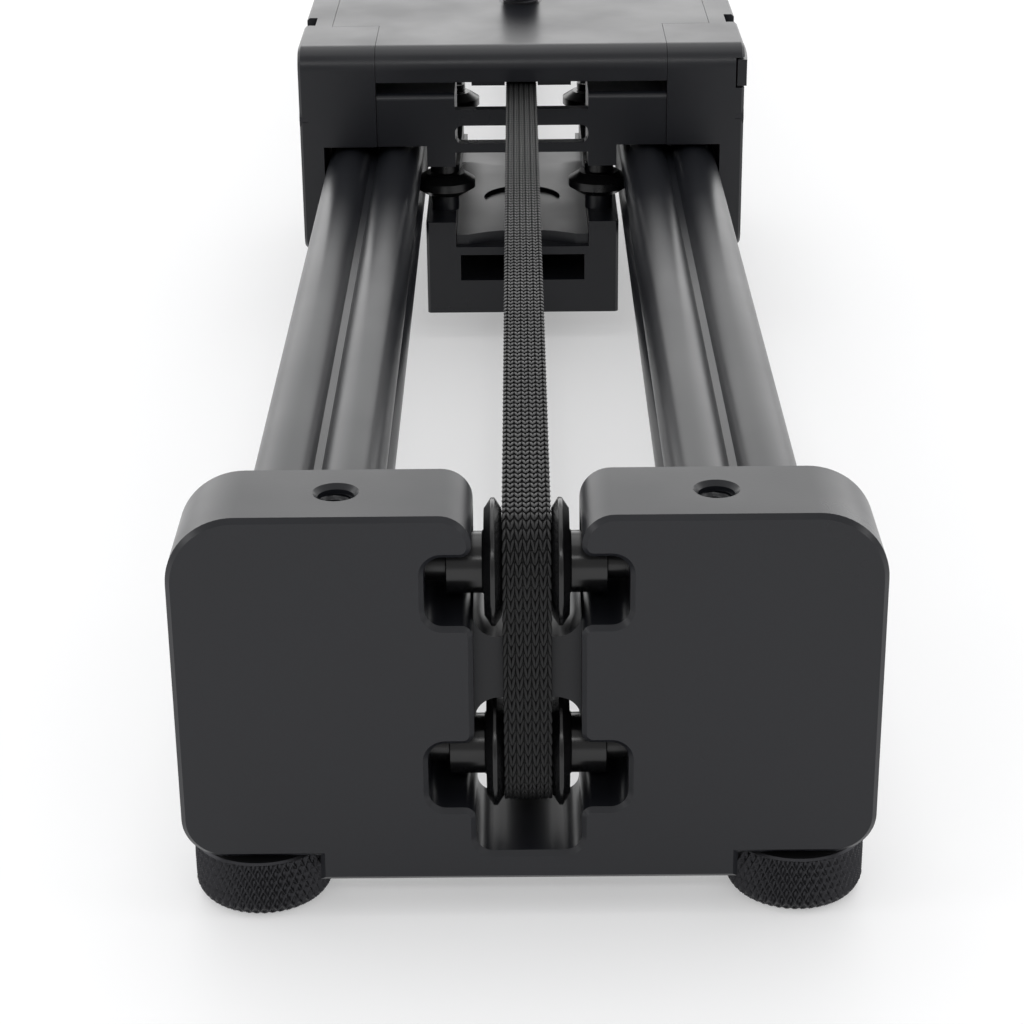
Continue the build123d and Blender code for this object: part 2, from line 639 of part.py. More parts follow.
def side_frame(side):
    """A side of the carriage: a corner over each end of the rail and a wall down its outside."""
    x0 = COVER_TONGUE_WIDTH / 2 + SEAM_GAP
    y = COVER_MIDDLE_LENGTH / 2 + SEAM_GAP
    cover_x = COVER_MIDDLE_WIDTH / 2 + SEAM_GAP
    outline = carriage_profile(SIDE_WALL_BOTTOM_Z)
    low = SIDE_WALL_BOTTOM_Z
    outline = rounded(outline, [(-CAR_HALF, low), (CAR_HALF, low)], SIDE_WALL_CORNER)
    frame = slab_yz(outline, x0, CAR_SIDE_X)
    frame = chamfer(frame.faces().sort_by(Axis.X)[-1].outer_wire().edges(), WALL_EDGE_CHAMFER)
    frame = frame - block_between(0, SIDE_WALL_INNER_X, -CAR_LENGTH, CAR_LENGTH, 0, RAIL_OPENING_TOP_Z)
    frame = frame - block_between(0, cover_x, -y, y, COVER_BOTTOM_Z, CAR_TOP_Z + 1)
    frame = frame - block_between(0, SIDE_WALL_INNER_X, -y, y, 0, COVER_BOTTOM_Z - LEDGE_THICKNESS)
    for room in roller_pockets():
        frame = frame - room
    half = PAD_LENGTH / 2 + SEAT_GAP
    for _, e in ENDS:
        frame = frame - slab_xz(pad_outline(SEAT_GAP), e * ROLLER_Y - half, e * ROLLER_Y + half)
        frame = frame - roller_axle(1, e)
    for start, end in cover_screw_lines() + bridge_screw_lines():
        if start[0] > 0:
            frame = frame - screw_hole(start, end)
    notch_half = NOTCH_LENGTH / 2
    frame = frame - block_between(
        CAR_SIDE_X - NOTCH_DEPTH, CAR_SIDE_X + 1,
        NOTCH_Y - notch_half, NOTCH_Y + notch_half, CAR_TOP_Z - NOTCH_DEPTH, CAR_TOP_Z + 1)
    if side > 0:
        frame = frame - lever_recess()
    return sided(frame, side)


def bridge(end):
    """A cross bridge between the side frames, with the belt's way through its middle."""
    half, tunnel = COVER_TONGUE_WIDTH / 2, TUNNEL_WIDTH / 2
    front = -CAR_HALF + BRIDGE_SET_BACK
    rear = front + BRIDGE_DEPTH
    body = block_between(-half, half, front, rear, BRIDGE_BOTTOM_Z, BRIDGE_TOP_Z)
    top_front = body.edges().filter_by(Axis.X).sort_by(Axis.Z)[-2:].sort_by(Axis.Y)[0]
    body = fillet(top_front, BRIDGE_EDGE)
    body = body - block_between(-tunnel, tunnel, front - 1, rear + 1, 0, CAR_TOP_Z)
    bars = rect(-tunnel, tunnel, LOWER_BAR_BOTTOM_Z, UPPER_BAR_TOP_Z)
    slot = rect(-tunnel, tunnel, LOWER_BAR_TOP_Z, UPPER_BAR_BOTTOM_Z)
    bars = bars - fillet(slot.vertices(), BAR_SLOT_CORNER)
    body = body + slab_xz(bars, front, front + BAR_DEPTH)
    for _, s in SIDES:
        low, high = sorted((s * BRIDGE_INNER_X, s * CAR_SIDE_X))
        body = body - block_between(low, high, front - 1, rear + 1, 0, RAIL_OPENING_TOP_Z)
        body = body - roller_axle(s, -1)
    for room in roller_pockets():
        body = body - room
    for start, stop in bridge_screw_lines():
        body = body - rod_between(SCREW_RADIUS + SEAT_GAP, start, stop)
    return mirrored(body, end)


def clamp_upper_jaw():
    """The strip under the cover that the belt is clamped against, relieved over the belt."""
    z1 = COVER_BOTTOM_Z
    half = CLAMP_WIDTH / 2
    belt_half = BELT_WIDTH / 2 + CLAMP_BELT_GAP
    jaw = block_between(-half, half, CLAMP_FRONT_Y, CLAMP_LENGTH / 2, z1 - CLAMP_LIP, z1)
    relief = UPPER_RUN_Z + BELT_THICKNESS + CLAMP_BELT_GAP
    jaw = jaw - block_between(-belt_half, belt_half, -CAR_HALF, CAR_HALF, z1 - 2 * CLAMP_LIP, relief)
    for start, end in clamp_screw_lines():
        jaw = jaw - rod_between(SCREW_RADIUS + SEAT_GAP, start, end)
    return jaw


def clamp_lower_jaw():
    """The plate that holds the belt's upper run up against the upper jaw."""
    half, y = CLAMP_WIDTH / 2, CLAMP_LENGTH / 2
    belt_half = BELT_WIDTH / 2 + CLAMP_BELT_GAP
    groove = UPPER_RUN_Z - CLAMP_BELT_GAP
    jaw = block_between(-half, half, -y, y, groove - CLAMP_JAW, COVER_BOTTOM_Z - CLAMP_LIP)
    jaw = jaw - block_between(-belt_half, belt_half, -y - 1, y + 1, groove, COVER_BOTTOM_Z)
    for start, end in clamp_screw_lines():
        jaw = jaw - rod_between(SCREW_RADIUS + SEAT_GAP, start, end)
    return jaw


def camera_stud():
    """The 3/8-16 stud for a tripod head: flange and shank in the cover, a thin neck and the threaded end."""
    seat, neck_top = CAR_TOP_Z, CAR_TOP_Z + STUD_NECK_HEIGHT
    stud = rod_between(STUD_RADIUS, (0, 0, neck_top), (0, 0, seat + STUD_HEIGHT))
    stud = chamfer(stud.edges().sort_by(Axis.Z)[-1], TAP_CHAMFER)
    stud = stud + rod_between(STUD_NECK_RADIUS, (0, 0, COVER_BOTTOM_Z), (0, 0, neck_top))
    stud = stud + rod_between(STUD_SHANK_RADIUS, (0, 0, COVER_BOTTOM_Z), (0, 0, seat))
    flange_top = (0, 0, COVER_BOTTOM_Z + STUD_FLANGE_HEIGHT)
    return stud + rod_between(STUD_FLANGE_RADIUS, (0, 0, COVER_BOTTOM_Z), flange_top)


# Lock lever
def lever_outline(grow):
    """Plan view of the lever: a round boss on its pin and a blade bowed gently outwards."""
    inner, outer = LEVER_INNER_X, LEVER_OUTER_X
    rear = LEVER_PIVOT_Y + LEVER_BOSS_RADIUS
    middle = (LEVER_TIP_Y + LEVER_PIVOT_Y) / 2
    bow = ThreePointArc((inner, rear), (outer, middle), (outer - LEVER_CLEARANCE, LEVER_TIP_Y))
    rest = Polyline((outer - LEVER_CLEARANCE, LEVER_TIP_Y), (inner, LEVER_TIP_Y), (inner, rear))
    blade = make_face([bow, rest])
    arm = rect(LEVER_PIVOT_X, inner + SEAM_GAP, LEVER_PIVOT_Y - LEVER_BOSS_RADIUS, rear)
    boss = Pos(LEVER_PIVOT_X, LEVER_PIVOT_Y) * Circle(LEVER_BOSS_RADIUS)
    whole = blade + arm + boss
    return offset(whole, grow) if grow else whole


def lever():
    """The lock lever, lying in its recess along the right-hand side."""
    blade = slab_xy(lever_outline(0), LEVER_BOTTOM_Z, LEVER_BOTTOM_Z + LEVER_HEIGHT)
    pin = Pos(LEVER_PIVOT_X, LEVER_PIVOT_Y) * Circle(LEVER_PIN_RADIUS + RUNNING_GAP)
    return blade - slab_xy(pin, LEVER_BOTTOM_Z - 1, CAR_TOP_Z)


def lever_recess():
    """The room in the side frame that the lever lies in and swings out of, and its pin's bore."""
    z0, z1 = LEVER_BOTTOM_Z - LEVER_CLEARANCE, LEVER_BOTTOM_Z + LEVER_HEIGHT + LEVER_CLEARANCE
    room = slab_xy(Pos(LEVER_PIVOT_X, LEVER_PIVOT_Y) * Circle(LEVER_BOSS_RADIUS + LEVER_CLEARANCE), z0, z1)
    front = -CAR_LENGTH
    rear = LEVER_PIVOT_Y + LEVER_BOSS_RADIUS + LEVER_CLEARANCE
    room = room + block_between(LEVER_INNER_X - LEVER_CLEARANCE, CAR_SIDE_X + 1, front, rear, z0, z1)
    return room + block_between(LEVER_PIVOT_X, CAR_SIDE_X + 1, LEVER_PIVOT_Y, rear, z0, z1) + lever_pin()


def lever_pin():
    """The pin that the lever turns on."""
    x, y = LEVER_PIVOT_X, LEVER_PIVOT_Y
    z0, z1 = LEVER_BOTTOM_Z - LEVER_HEIGHT / 2, CAR_TOP_Z - WALL_EDGE_CHAMFER
    return rod_between(LEVER_PIN_RADIUS, (x, y, z0), (x, y, z1))


# Base carriage
def base_body():
    """The carriage under the rails: a block with a belt tunnel, a deck for the lid and four posts."""
    half, tunnel = BASE_WIDTH / 2, CHANNEL_WIDTH / 2
    deck = LID_TOP_Z - LID_THICKNESS
    lid_half = LID_WIDTH / 2 + SEAM_GAP
    body = block_between(-half, half, -BASE_HALF, BASE_HALF, BASE_BOTTOM_Z, BASE_TOP_Z)
    body = chamfer(body.edges().filter_by(Axis.Z), BASE_EDGE_CHAMFER)
    body = body - block_between(-tunnel, tunnel, -BASE_LENGTH, BASE_LENGTH, CHANNEL_FLOOR_Z, CHANNEL_TOP_Z)
    body = body - block_between(-lid_half, lid_half, -BASE_LENGTH, BASE_LENGTH, deck, BASE_TOP_Z + 1)
    body = body - block_between(-tunnel, tunnel, DECK_REAR_Y, BASE_LENGTH, CHANNEL_FLOOR_Z, BASE_TOP_Z)
    post_top = RAIL_Z - ROLLER_RIM - POST_GAP
    for start, end in base_axle_lines():
        x, y, _ = start
        body = body + rod_between(POST_RADIUS, (x, y, BASE_TOP_Z), (x, y, post_top))
        body = body - rod_between(AXLE_RADIUS + SEAT_GAP, start, end)
    for y in (-BASE_QUARTER_Y, 0, BASE_QUARTER_Y):
        bore = TAP_QUARTER_RADIUS if y else TAP_THREE_EIGHTHS_RADIUS
        body = body - rod_between(bore, (0, y, 0), (0, y, CHANNEL_FLOOR_Z))
        body = body - Pos(0, y, BASE_BOTTOM_Z) * Rot(180, 0, 0) * tap_mouth(bore)
    for start, end in lid_screw_lines() + base_clamp_screw_lines():
        body = body - rod_between(SCREW_RADIUS + SEAT_GAP, start, end)
    return body


def base_axle_lines():
    """Bottom and top of each vertical roller axle's shank."""
    z0, z1 = BASE_TOP_Z - AXLE_SINK, RAIL_Z + ROLLER_RIM + POST_GAP
    return [((s * BASE_ROLLER_X, e * BASE_ROLLER_Y, z0), (s * BASE_ROLLER_X, e * BASE_ROLLER_Y, z1))
            for _, s in SIDES for _, e in ENDS]


def base_axles():
    """Shoulder screws that the base carriage's rollers turn on."""
    axles = []
    for start, end in base_axle_lines():
        top = (end[0], end[1], end[2] + AXLE_HEAD_HEIGHT)
        axle = rod_between(AXLE_RADIUS, start, top) + rod_between(AXLE_HEAD_RADIUS, end, top)
        socket = extrude(RegularPolygon(AXLE_RADIUS, 6), amount=AXLE_HEAD_HEIGHT)
        axles.append(axle - Pos(top[0], top[1], top[2] - AXLE_HEAD_HEIGHT / 2) * socket)
    return axles


def lid_screw_lines():
    """Start and end of each screw that holds the lid from inside the belt tunnel."""
    z0, z1 = CHANNEL_TOP_Z - SCREW_HEAD_HEIGHT, LID_TOP_Z - LID_DISH_DEPTH
    ends = (LID_FRONT_Y + LID_SCREW_INSET, LID_REAR_Y - LID_SCREW_INSET)
    return [((s * LID_SCREW_X, y, z0), (s * LID_SCREW_X, y, z1)) for _, s in SIDES for y in ends]


def lid():
    """The lid over the belt tunnel, its ends cut with shallow arcs and its middle dished."""
    half, chord = LID_WIDTH / 2, LID_ARC_CHORD / 2
    radius = (chord ** 2 + LID_ARC_DEPTH ** 2) / (2 * LID_ARC_DEPTH)
    outline = rect(-half, half, LID_FRONT_Y, LID_REAR_Y)
    outline = outline - Pos(0, LID_FRONT_Y + LID_ARC_DEPTH - radius) * Circle(radius)
    outline = outline - Pos(0, LID_REAR_Y - LID_ARC_DEPTH + radius) * Circle(radius)
    plate = slab_xy(outline, LID_TOP_Z - LID_THICKNESS, LID_TOP_Z)
    middle = (LID_FRONT_Y + LID_REAR_Y) / 2
    plate = plate - Pos(0, middle, LID_TOP_Z) * Cylinder(LID_DISH_RADIUS, 2 * LID_DISH_DEPTH)
    for start, end in lid_screw_lines():
        plate = plate - rod_between(SCREW_RADIUS + SEAT_GAP, start, end)
    return plate


def base_clamp_y():
    """Front and rear of the base carriage's belt clamp."""
    rear = BASE_HALF - BASE_CLAMP_INSET
    return rear - BASE_CLAMP_LENGTH, rear


def base_clamp_screw_lines():
    """Start and end of each screw of the lower belt clamp, from above."""
    y = sum(base_clamp_y()) / 2
    z0 = base_clamp_top() + SCREW_HEAD_HEIGHT
    z1 = CHANNEL_FLOOR_Z - COVER_SCREW_GRIP
    return [((s * CLAMP_SCREW_X, y, z0), (s * CLAMP_SCREW_X, y, z1)) for _, s in SIDES]


def base_clamp_top():
    """The height of the lower belt clamp's top."""
    return LOWER_RUN_Z + CLAMP_BELT_GAP + CLAMP_JAW


def base_clamp():
    """The saddle that holds the belt's lower run down on the tunnel's floor."""
    half = CLAMP_WIDTH / 2
    belt_half = BELT_WIDTH / 2 + CLAMP_BELT_GAP
    front, rear = base_clamp_y()
    saddle = block_between(-half, half, front, rear, CHANNEL_FLOOR_Z, base_clamp_top())
    groove_top = LOWER_RUN_Z + CLAMP_BELT_GAP
    saddle = saddle - block_between(-belt_half, belt_half, front - 1, rear + 1, 0, groove_top)
    for start, end in base_clamp_screw_lines():
        saddle = saddle - rod_between(SCREW_RADIUS + SEAT_GAP, start, end)
    return saddle


# All the pieces
def main():
    """Write every piece of the slider to its own file."""
    os.makedirs("parts", exist_ok=True)
    block = end_block()
    for end, e in ENDS:
        save("end_block_" + end, mirrored(block, e))
        save("cross_bridge_" + end, bridge(e))
    save("drive_belt", belt())
    wheel = pulley()
    pins = {end: [] for end, _ in ENDS}
    plugs = []
    for name, place in pulley_places():
        save("pulley_" + name, along_x(wheel, *place))
        save("pulley_bearings_" + name, bearings(place))
        pins[name.split("_")[0]].append(pulley_pin(place))
        plugs.append(pin_plug(place))
    for end, _ in ENDS:
        save("pulley_pins_" + end, pins[end])
    save("pin_plugs", plugs)
    save("rail_set_screws", rail_screws())
    top_roller, side_roller = roller(ROLLER_RADIUS), roller(BASE_ROLLER_RADIUS)
    axles = []
    for side, s in SIDES:
        save("rail_" + side, rail(s))
        save("side_frame_" + side, side_frame(s))
        save("glide_pads_" + side, glide_pads(s))
        for end, e in ENDS:
            corner = end + "_" + side
            save("foot_stud_" + corner, foot_stud(s * FOOT_X, e * PULLEY_Y))
            save("foot_wheel_" + corner, foot_wheel(s * FOOT_X, e * PULLEY_Y))
            save("top_roller_" + corner, along_x(top_roller, s * RAIL_X, e * ROLLER_Y, ROLLER_Z))
            save("base_roller_" + corner, Pos(s * BASE_ROLLER_X, e * BASE_ROLLER_Y, RAIL_Z) * side_roller)
            axles.append(roller_axle(s, e))
    save("top_roller_axles", axles)
    save("top_cover", cover())
    save("camera_stud", camera_stud())
    save("upper_clamp_jaw", clamp_upper_jaw())
    save("lower_clamp_jaw", clamp_lower_jaw())
    save("clamp_screws", [screw(a, b) for a, b in clamp_screw_lines()])
    save("cover_screws", [screw(a, b) for a, b in cover_screw_lines()])
    save("bridge_screws", [screw(a, b) for a, b in bridge_screw_lines()])
    save("lock_lever", lever())
    save("lever_pin", lever_pin())
    save("base_body", base_body())
    save("base_lid", lid())
    save("lid_screws", [screw(a, b) for a, b in lid_screw_lines()])
    save("base_belt_clamp", base_clamp())
    save("base_clamp_screws", [screw(a, b) for a, b in base_clamp_screw_lines()])
    save("base_roller_axles", base_axles())


main()
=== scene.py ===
"""Dresses a double-travel camera slider: anodised finishes, knitted belt, knurled feet and cut threads."""
import json
import logging
import math
from dataclasses import dataclass, field
from enum import Enum
from typing import Iterable, Sequence

import bmesh
import bpy
import numpy as np
from mathutils import Matrix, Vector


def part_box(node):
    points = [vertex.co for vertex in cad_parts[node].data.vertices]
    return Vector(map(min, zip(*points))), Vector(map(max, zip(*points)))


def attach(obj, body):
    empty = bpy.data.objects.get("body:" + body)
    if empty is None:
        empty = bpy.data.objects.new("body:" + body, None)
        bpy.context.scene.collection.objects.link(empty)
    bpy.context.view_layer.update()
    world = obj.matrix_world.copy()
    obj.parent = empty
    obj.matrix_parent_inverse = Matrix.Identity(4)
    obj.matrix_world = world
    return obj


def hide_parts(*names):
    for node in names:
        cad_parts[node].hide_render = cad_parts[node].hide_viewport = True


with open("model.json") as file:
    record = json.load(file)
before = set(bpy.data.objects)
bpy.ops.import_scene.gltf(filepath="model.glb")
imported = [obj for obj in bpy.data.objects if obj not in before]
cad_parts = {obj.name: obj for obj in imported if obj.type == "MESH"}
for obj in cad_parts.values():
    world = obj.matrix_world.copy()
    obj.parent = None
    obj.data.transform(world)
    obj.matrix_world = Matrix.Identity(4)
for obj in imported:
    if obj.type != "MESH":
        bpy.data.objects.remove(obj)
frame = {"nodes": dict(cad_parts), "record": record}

LOG = logging.getLogger("slider")
MM = 0.001
TAU = 2 * math.pi
# The turn between two faces from which their edge is sharp, and a smaller one for the lid's shallow dish.
SHARP_ANGLE = math.radians(20)
FINE_SHARP_ANGLE = math.radians(6)
# Triangles that turn by less than this lie in one plane.
FLAT_ANGLE = math.radians(0.3)
# A plane face is flat where its area is this many times that of each face it runs into smoothly.
FLAT_SHARE = 3.0
# Points of the frame's meshes that lie closer than this are one point.
MERGE_MM = 0.001
# A radius that closes a turned outline at its axis.
AXIS_RADIUS = 0.01
# Soft clouds of uneven gloss along a metre, and the noise between which the gloss changes.
CLOUDS_PER_METRE = 45.0
CLOUD_LOW, CLOUD_HIGH = 0.3, 0.7


def plain_lists(bounds: Iterable[Iterable[float]]) -> list[list[float]]:
    """Turns a box's corners into plain lists of numbers.

    Args:
        bounds: The lowest and the highest corner.

    Returns:
        The same corners as lists.
    """
    return [[float(v) for v in corner] for corner in bounds]


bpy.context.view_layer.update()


def linear(code: str) -> tuple[float, float, float, float]:
    """Turns an sRGB hex colour into linear light.

    Args:
        code: Six hex digits after a hash sign.

    Returns:
        Red, green, blue and full opacity.
    """
    values = [int(code[i:i + 2], 16) / 255 for i in (1, 3, 5)]
    red, green, blue = (v / 12.92 if v <= 0.04045 else ((v + 0.055) / 1.055) ** 2.4 for v in values)
    return red, green, blue, 1.0


def add(tree: bpy.types.NodeTree, kind: str, settings: dict | None = None,
        links: dict | None = None) -> bpy.types.Node:
    """Adds one node with its settings and the links into it.

    Args:
        tree: The node tree it goes into.
        kind: Blender's name for the node's type.
        settings: Values by attribute name or by input name.
        links: Output sockets by the name of the input that each one feeds.

    Returns:
        The new node.
    """
    node = tree.nodes.new(kind)
    for key, value in (settings or {}).items():
        if isinstance(key, str) and hasattr(node, key):
            setattr(node, key, value)
        else:
            node.inputs[key].default_value = value
    for key, socket in (links or {}).items():
        tree.links.new(socket, node.inputs[key])
    return node


class Grain(Enum):
    """How a surface was made, which sets the direction of its fine marks."""

    BLASTED = (1.0, 1.0, 1.0)
    DRAWN = (1.0, 0.012, 1.0)
    ROUND_X = (0.08, 1.0, 1.0)
    FIBRE = (1.0, 0.35, 1.0)


@dataclass(frozen=True)
class Finish:
    """One finish of the slider.

    Attributes:
        name: The finish in a maker's words.
        colour: Its sRGB hex colour.
        light: The hex colour of its palest specks.
        roughness: How far it blurs a reflection.
        spread: How much the roughness wanders.
        metallic: One for bare metal, nought for oxide, fibre and plastic.
        grain: The direction of its marks.
        grain_mm: The size of its marks.
        relief_mm: Their depth.
        ior: How strongly its clear top layer mirrors; the sealed and dyed oxide is full of fine pores.
    """

    name: str
    colour: str
    light: str
    roughness: float
    spread: float = 0.05
    metallic: float = 0.0
    grain: Grain = Grain.BLASTED
    grain_mm: float = 0.35
    relief_mm: float = 0.004
    ior: float = 1.5

    def material(self) -> bpy.types.Material:
        """Builds the material once and hands back the same one after that."""
        known = bpy.data.materials.get(self.name)
        if known:
            return known
        made = bpy.data.materials.new(self.name)
        made.use_nodes = True
        tree = made.node_tree
        tree.nodes.clear()
        place = add(tree, "ShaderNodeTexCoord")
        per_metre = 1 / (self.grain_mm * MM)
        scale = tuple(per_metre * along for along in self.grain.value)
        marks_at = add(tree, "ShaderNodeMapping", {"Scale": scale}, {"Vector": place.outputs["Object"]})
        marks = add(tree, "ShaderNodeTexNoise", {"Scale": 1.0, "Detail": 2.0},
                    {"Vector": marks_at.outputs["Vector"]})
        cloud_at = add(tree, "ShaderNodeMapping", {"Scale": (CLOUDS_PER_METRE,) * 3},
                       {"Vector": place.outputs["Object"]})
        cloud = add(tree, "ShaderNodeTexNoise", {"Scale": 1.0, "Detail": 3.0},
                    {"Vector": cloud_at.outputs["Vector"]})
        blend = add(tree, "ShaderNodeMath", {"operation": "MULTIPLY"},
                    {0: marks.outputs["Fac"], 1: cloud.outputs["Fac"]})
        tint = add(tree, "ShaderNodeMix", {"data_type": "RGBA"}, {"Factor": blend.outputs[0]})
        for socket in tint.inputs:
            if socket.type == "RGBA":
                socket.default_value = linear(self.colour if socket.name == "A" else self.light)
        gloss = add(tree, "ShaderNodeMapRange", {
            "From Min": CLOUD_LOW, "From Max": CLOUD_HIGH,
            "To Min": self.roughness - self.spread, "To Max": self.roughness + self.spread,
        }, {"Value": cloud.outputs["Fac"]})
        relief = add(tree, "ShaderNodeBump", {"Strength": 1.0, "Distance": self.relief_mm * MM},
                     {"Height": marks.outputs["Fac"]})
        tinted = [s for s in tint.outputs if s.type == "RGBA"][0]
        shader = add(tree, "ShaderNodeBsdfPrincipled", {"Metallic": self.metallic, "IOR": self.ior}, {
            "Base Color": tinted, "Roughness": gloss.outputs["Result"], "Normal": relief.outputs["Normal"]})
        add(tree, "ShaderNodeOutputMaterial", links={"Surface": shader.outputs["BSDF"]})
        return made


# Black anodised aluminium, bead-blasted: a thin dark oxide over metal, dull head-on and pale at a low angle.
ANODISED = Finish("black_anodised_blasted_aluminium", "#141519", "#1d1e23", 0.32, ior=1.42)
# The same oxide on the drawn rails, whose die leaves faint lines along them.
DRAWN_RAIL = Finish("black_anodised_drawn_aluminium", "#15161a", "#1e2024", 0.30, 0.02, grain=Grain.DRAWN,
                    grain_mm=0.4, relief_mm=0.002, ior=1.36)
# Turned and anodised pulleys, smooth enough to mirror a lamp.
GLOSS_BLACK = Finish("black_anodised_turned_aluminium", "#0c0c0d", "#131314", 0.22, 0.03, grain=Grain.ROUND_X,
                     grain_mm=0.2, relief_mm=0.001)
# Knurled steel, chemically blackened and lightly oiled.
BLACK_STEEL = Finish("black_oxide_steel", "#131314", "#232325", 0.33, relief_mm=0.003)
# The pulleys' pins, the rollers and their axles, blackened and oiled.
DARK_STEEL = Finish("blackened_ground_steel", "#0d0d0e", "#151516", 0.28, 0.03, grain=Grain.ROUND_X,
                    grain_mm=0.2, relief_mm=0.001)
# Ground steel of the pulleys' bearings and the lever's pin.
GROUND_STEEL = Finish("ground_bearing_steel", "#a3a4a6", "#b8b9bb", 0.22, metallic=1.0, grain=Grain.ROUND_X,
                      grain_mm=0.15, relief_mm=0.001)
# Black acetal of the glide pads, moulded and slightly waxy.
ACETAL = Finish("black_moulded_acetal", "#141414", "#1d1d1d", 0.45)
# Polyester yarn of the belt, shiny along each filament bundle.
YARN = Finish("black_polyester_yarn", "#0b0b0c", "#19191a", 0.45, grain=Grain.FIBRE, grain_mm=0.12,
              relief_mm=0.02, ior=1.38)
# The belt's core, coloured darker than its yarn as painted shade between the stitches.
SHADED_CORE = Finish("black_belt_core_painted_shade", "#040404", "#080808", 0.9, grain=Grain.FIBRE, grain_mm=0.3, relief_mm=0.03)

BY_SLOT: dict[str, Finish] = {
    "black_anodised_aluminium": ANODISED,
    "gloss_black_aluminium": GLOSS_BLACK,
    "black_knitted_belt": YARN,
    "black_knurled_steel": BLACK_STEEL,
    "black_acetal": ACETAL,
    "bright_steel": GROUND_STEEL,
    "black_oxide_steel": BLACK_STEEL,
}


def linked(name: str, data: bpy.types.ID) -> bpy.types.Object:
    """Makes an object of some data and links it to the scene."""
    made = bpy.data.objects.new(name, data)
    bpy.context.scene.collection.objects.link(made)
    return made


def mesh_piece(name: str, points: np.ndarray, faces: np.ndarray,
               smooth: float = SHARP_ANGLE) -> bpy.types.Object:
    """Makes an object from points in millimetres and faces, turned outwards.

    The enclosed volume is the sum, over triangles, of each one's corner dotted with the cross product of the
    other two; where it comes out negative the faces are reversed.

    Args:
        name: The piece's name.
        points: One row for each point.
        faces: One row of point numbers for each face.
        smooth: The angle past which an edge is left sharp.

    Returns:
        The new object, linked to the scene.
    """
    corner = points[faces]
    volume = 0.0
    for k in range(1, faces.shape[1] - 1):
        volume += np.einsum("ij,ij->i", corner[:, 0], np.cross(corner[:, k], corner[:, k + 1])).sum()
    if volume < 0:
        faces = faces[:, ::-1]
    data = bpy.data.meshes.new(name)
    data.from_pydata((points * MM).tolist(), [], faces.tolist())
    data.update()
    data.shade_smooth()
    data.set_sharp_from_angle(angle=smooth)
    return linked(name, data)


def grid_faces(rows: int, columns: int, wrap_rows: bool, wrap_columns: bool) -> np.ndarray:
    """Numbers the four corners of every cell of a grid.

    Args:
        rows: How many rows of points there are.
        columns: How many points each row has.
        wrap_rows: Whether the last row joins the first.
        wrap_columns: Whether the last column joins the first.

    Returns:
        One row of four point numbers for each cell.
    """
    i = np.arange(rows if wrap_rows else rows - 1)
    j = np.arange(columns if wrap_columns else columns - 1)
    a, b = np.meshgrid(i, j, indexing="ij")
    here, below = a * columns, (a + 1) % rows * columns
    beside = (b + 1) % columns
    return np.stack([here + b, below + b, below + beside, here + beside], axis=-1).reshape(-1, 4)


def round_points(radius: np.ndarray, turn: np.ndarray, along: np.ndarray,
                 centre: Sequence[float] = (0.0, 0.0)) -> np.ndarray:
    """Places points round an upright line.

    A point is the centre plus its radius times the cosine and the sine of its turn, at its own height.

    Args:
        radius: Distance of each point from the line.
        turn: Its turn round the line, where one is a full turn.
        along: Its height.
        centre: X and Y of the line.

    Returns:
        One row for each point.
    """
    x = centre[0] + radius * np.cos(TAU * turn)
    y = centre[1] + radius * np.sin(TAU * turn)
    return np.stack([x, y, along], axis=-1).reshape(-1, 3)


def turned(name: str, profile: Sequence[tuple[float, float]], centre: Sequence[float],
           segments: int) -> bpy.types.Object:
    """Turns a closed profile round the X axis.

    A point is the centre, plus its place along X, plus its radius times the cosine and the sine of the turn
    along Y and Z.

    Args:
        name: The piece's name.
        profile: Radius and place along X of each corner, all with a radius above nought.
        centre: A point on the axis, in millimetres.
        segments: How many steps there are in a full turn.

    Returns:
        The new object.
    """
    radius, place = np.array(profile, dtype=float).T
    turn = np.arange(segments) * TAU / segments
    cosine, sine = np.outer(radius, np.cos(turn)), np.outer(radius, np.sin(turn))
    along = np.repeat(place[:, None], segments, axis=1)
    points = np.stack([along, cosine, sine], axis=-1).reshape(-1, 3)
    return mesh_piece(name, points + np.asarray(centre), grid_faces(len(radius), segments, True, True))


def node_body() -> dict[str, str]:
    """Says which body each node of the frame belongs to."""
    bodies = frame["record"]["behaviour"]["bodies"]
    return {node: body for body, nodes in bodies.items() for node in nodes}


NODE_BODY = node_body()
NODE_SLOT = {part["node"]: part["material_slot"] for part in frame["record"]["subparts"]}


def dress(piece: bpy.types.Object, node: str, finish: Finish, stands_in: bool = True) -> bpy.types.Object:
    """Gives a new piece its finish, its body and its place in the frame.

    Args:
        piece: The new piece.
        node: The frame's node that it belongs with.
        finish: What it is finished with.
        stands_in: Whether the piece takes the node's place.

    Returns:
        The same piece.
    """
    piece.data.materials.clear()
    piece.data.materials.append(finish.material())
    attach(piece, NODE_BODY[node])
    if stands_in:
        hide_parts(node)
    LOG.info("%s: %d faces, finished in %s", piece.name, len(piece.data.polygons), finish.name)
    return piece


def box_mm(node: str) -> np.ndarray:
    """Gives a node's lowest and highest corner in millimetres."""
    return np.array(plain_lists(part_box(node))) / MM


def tooth(phase: np.ndarray) -> np.ndarray:
    """A wave of straight flanks: nought at whole numbers and one half-way between them."""
    return 1 - np.abs(2 * (phase - np.floor(phase)) - 1)


def lowest_labels(count: int, one: np.ndarray, other: np.ndarray) -> np.ndarray:
    """Gives things that are joined, directly or through others, the same label.

    Args:
        count: How many things there are.
        one: The first thing of each joined pair.
        other: The second thing of each joined pair.

    Returns:
        The label of each thing, which is the lowest number in its group.
    """
    label = np.arange(count)
    while True:
        after = label.copy()
        lower = np.minimum(label[one], label[other])
        np.minimum.at(after, one, lower)
        np.minimum.at(after, other, lower)
        if (after == label).all():
            return label
        label = after


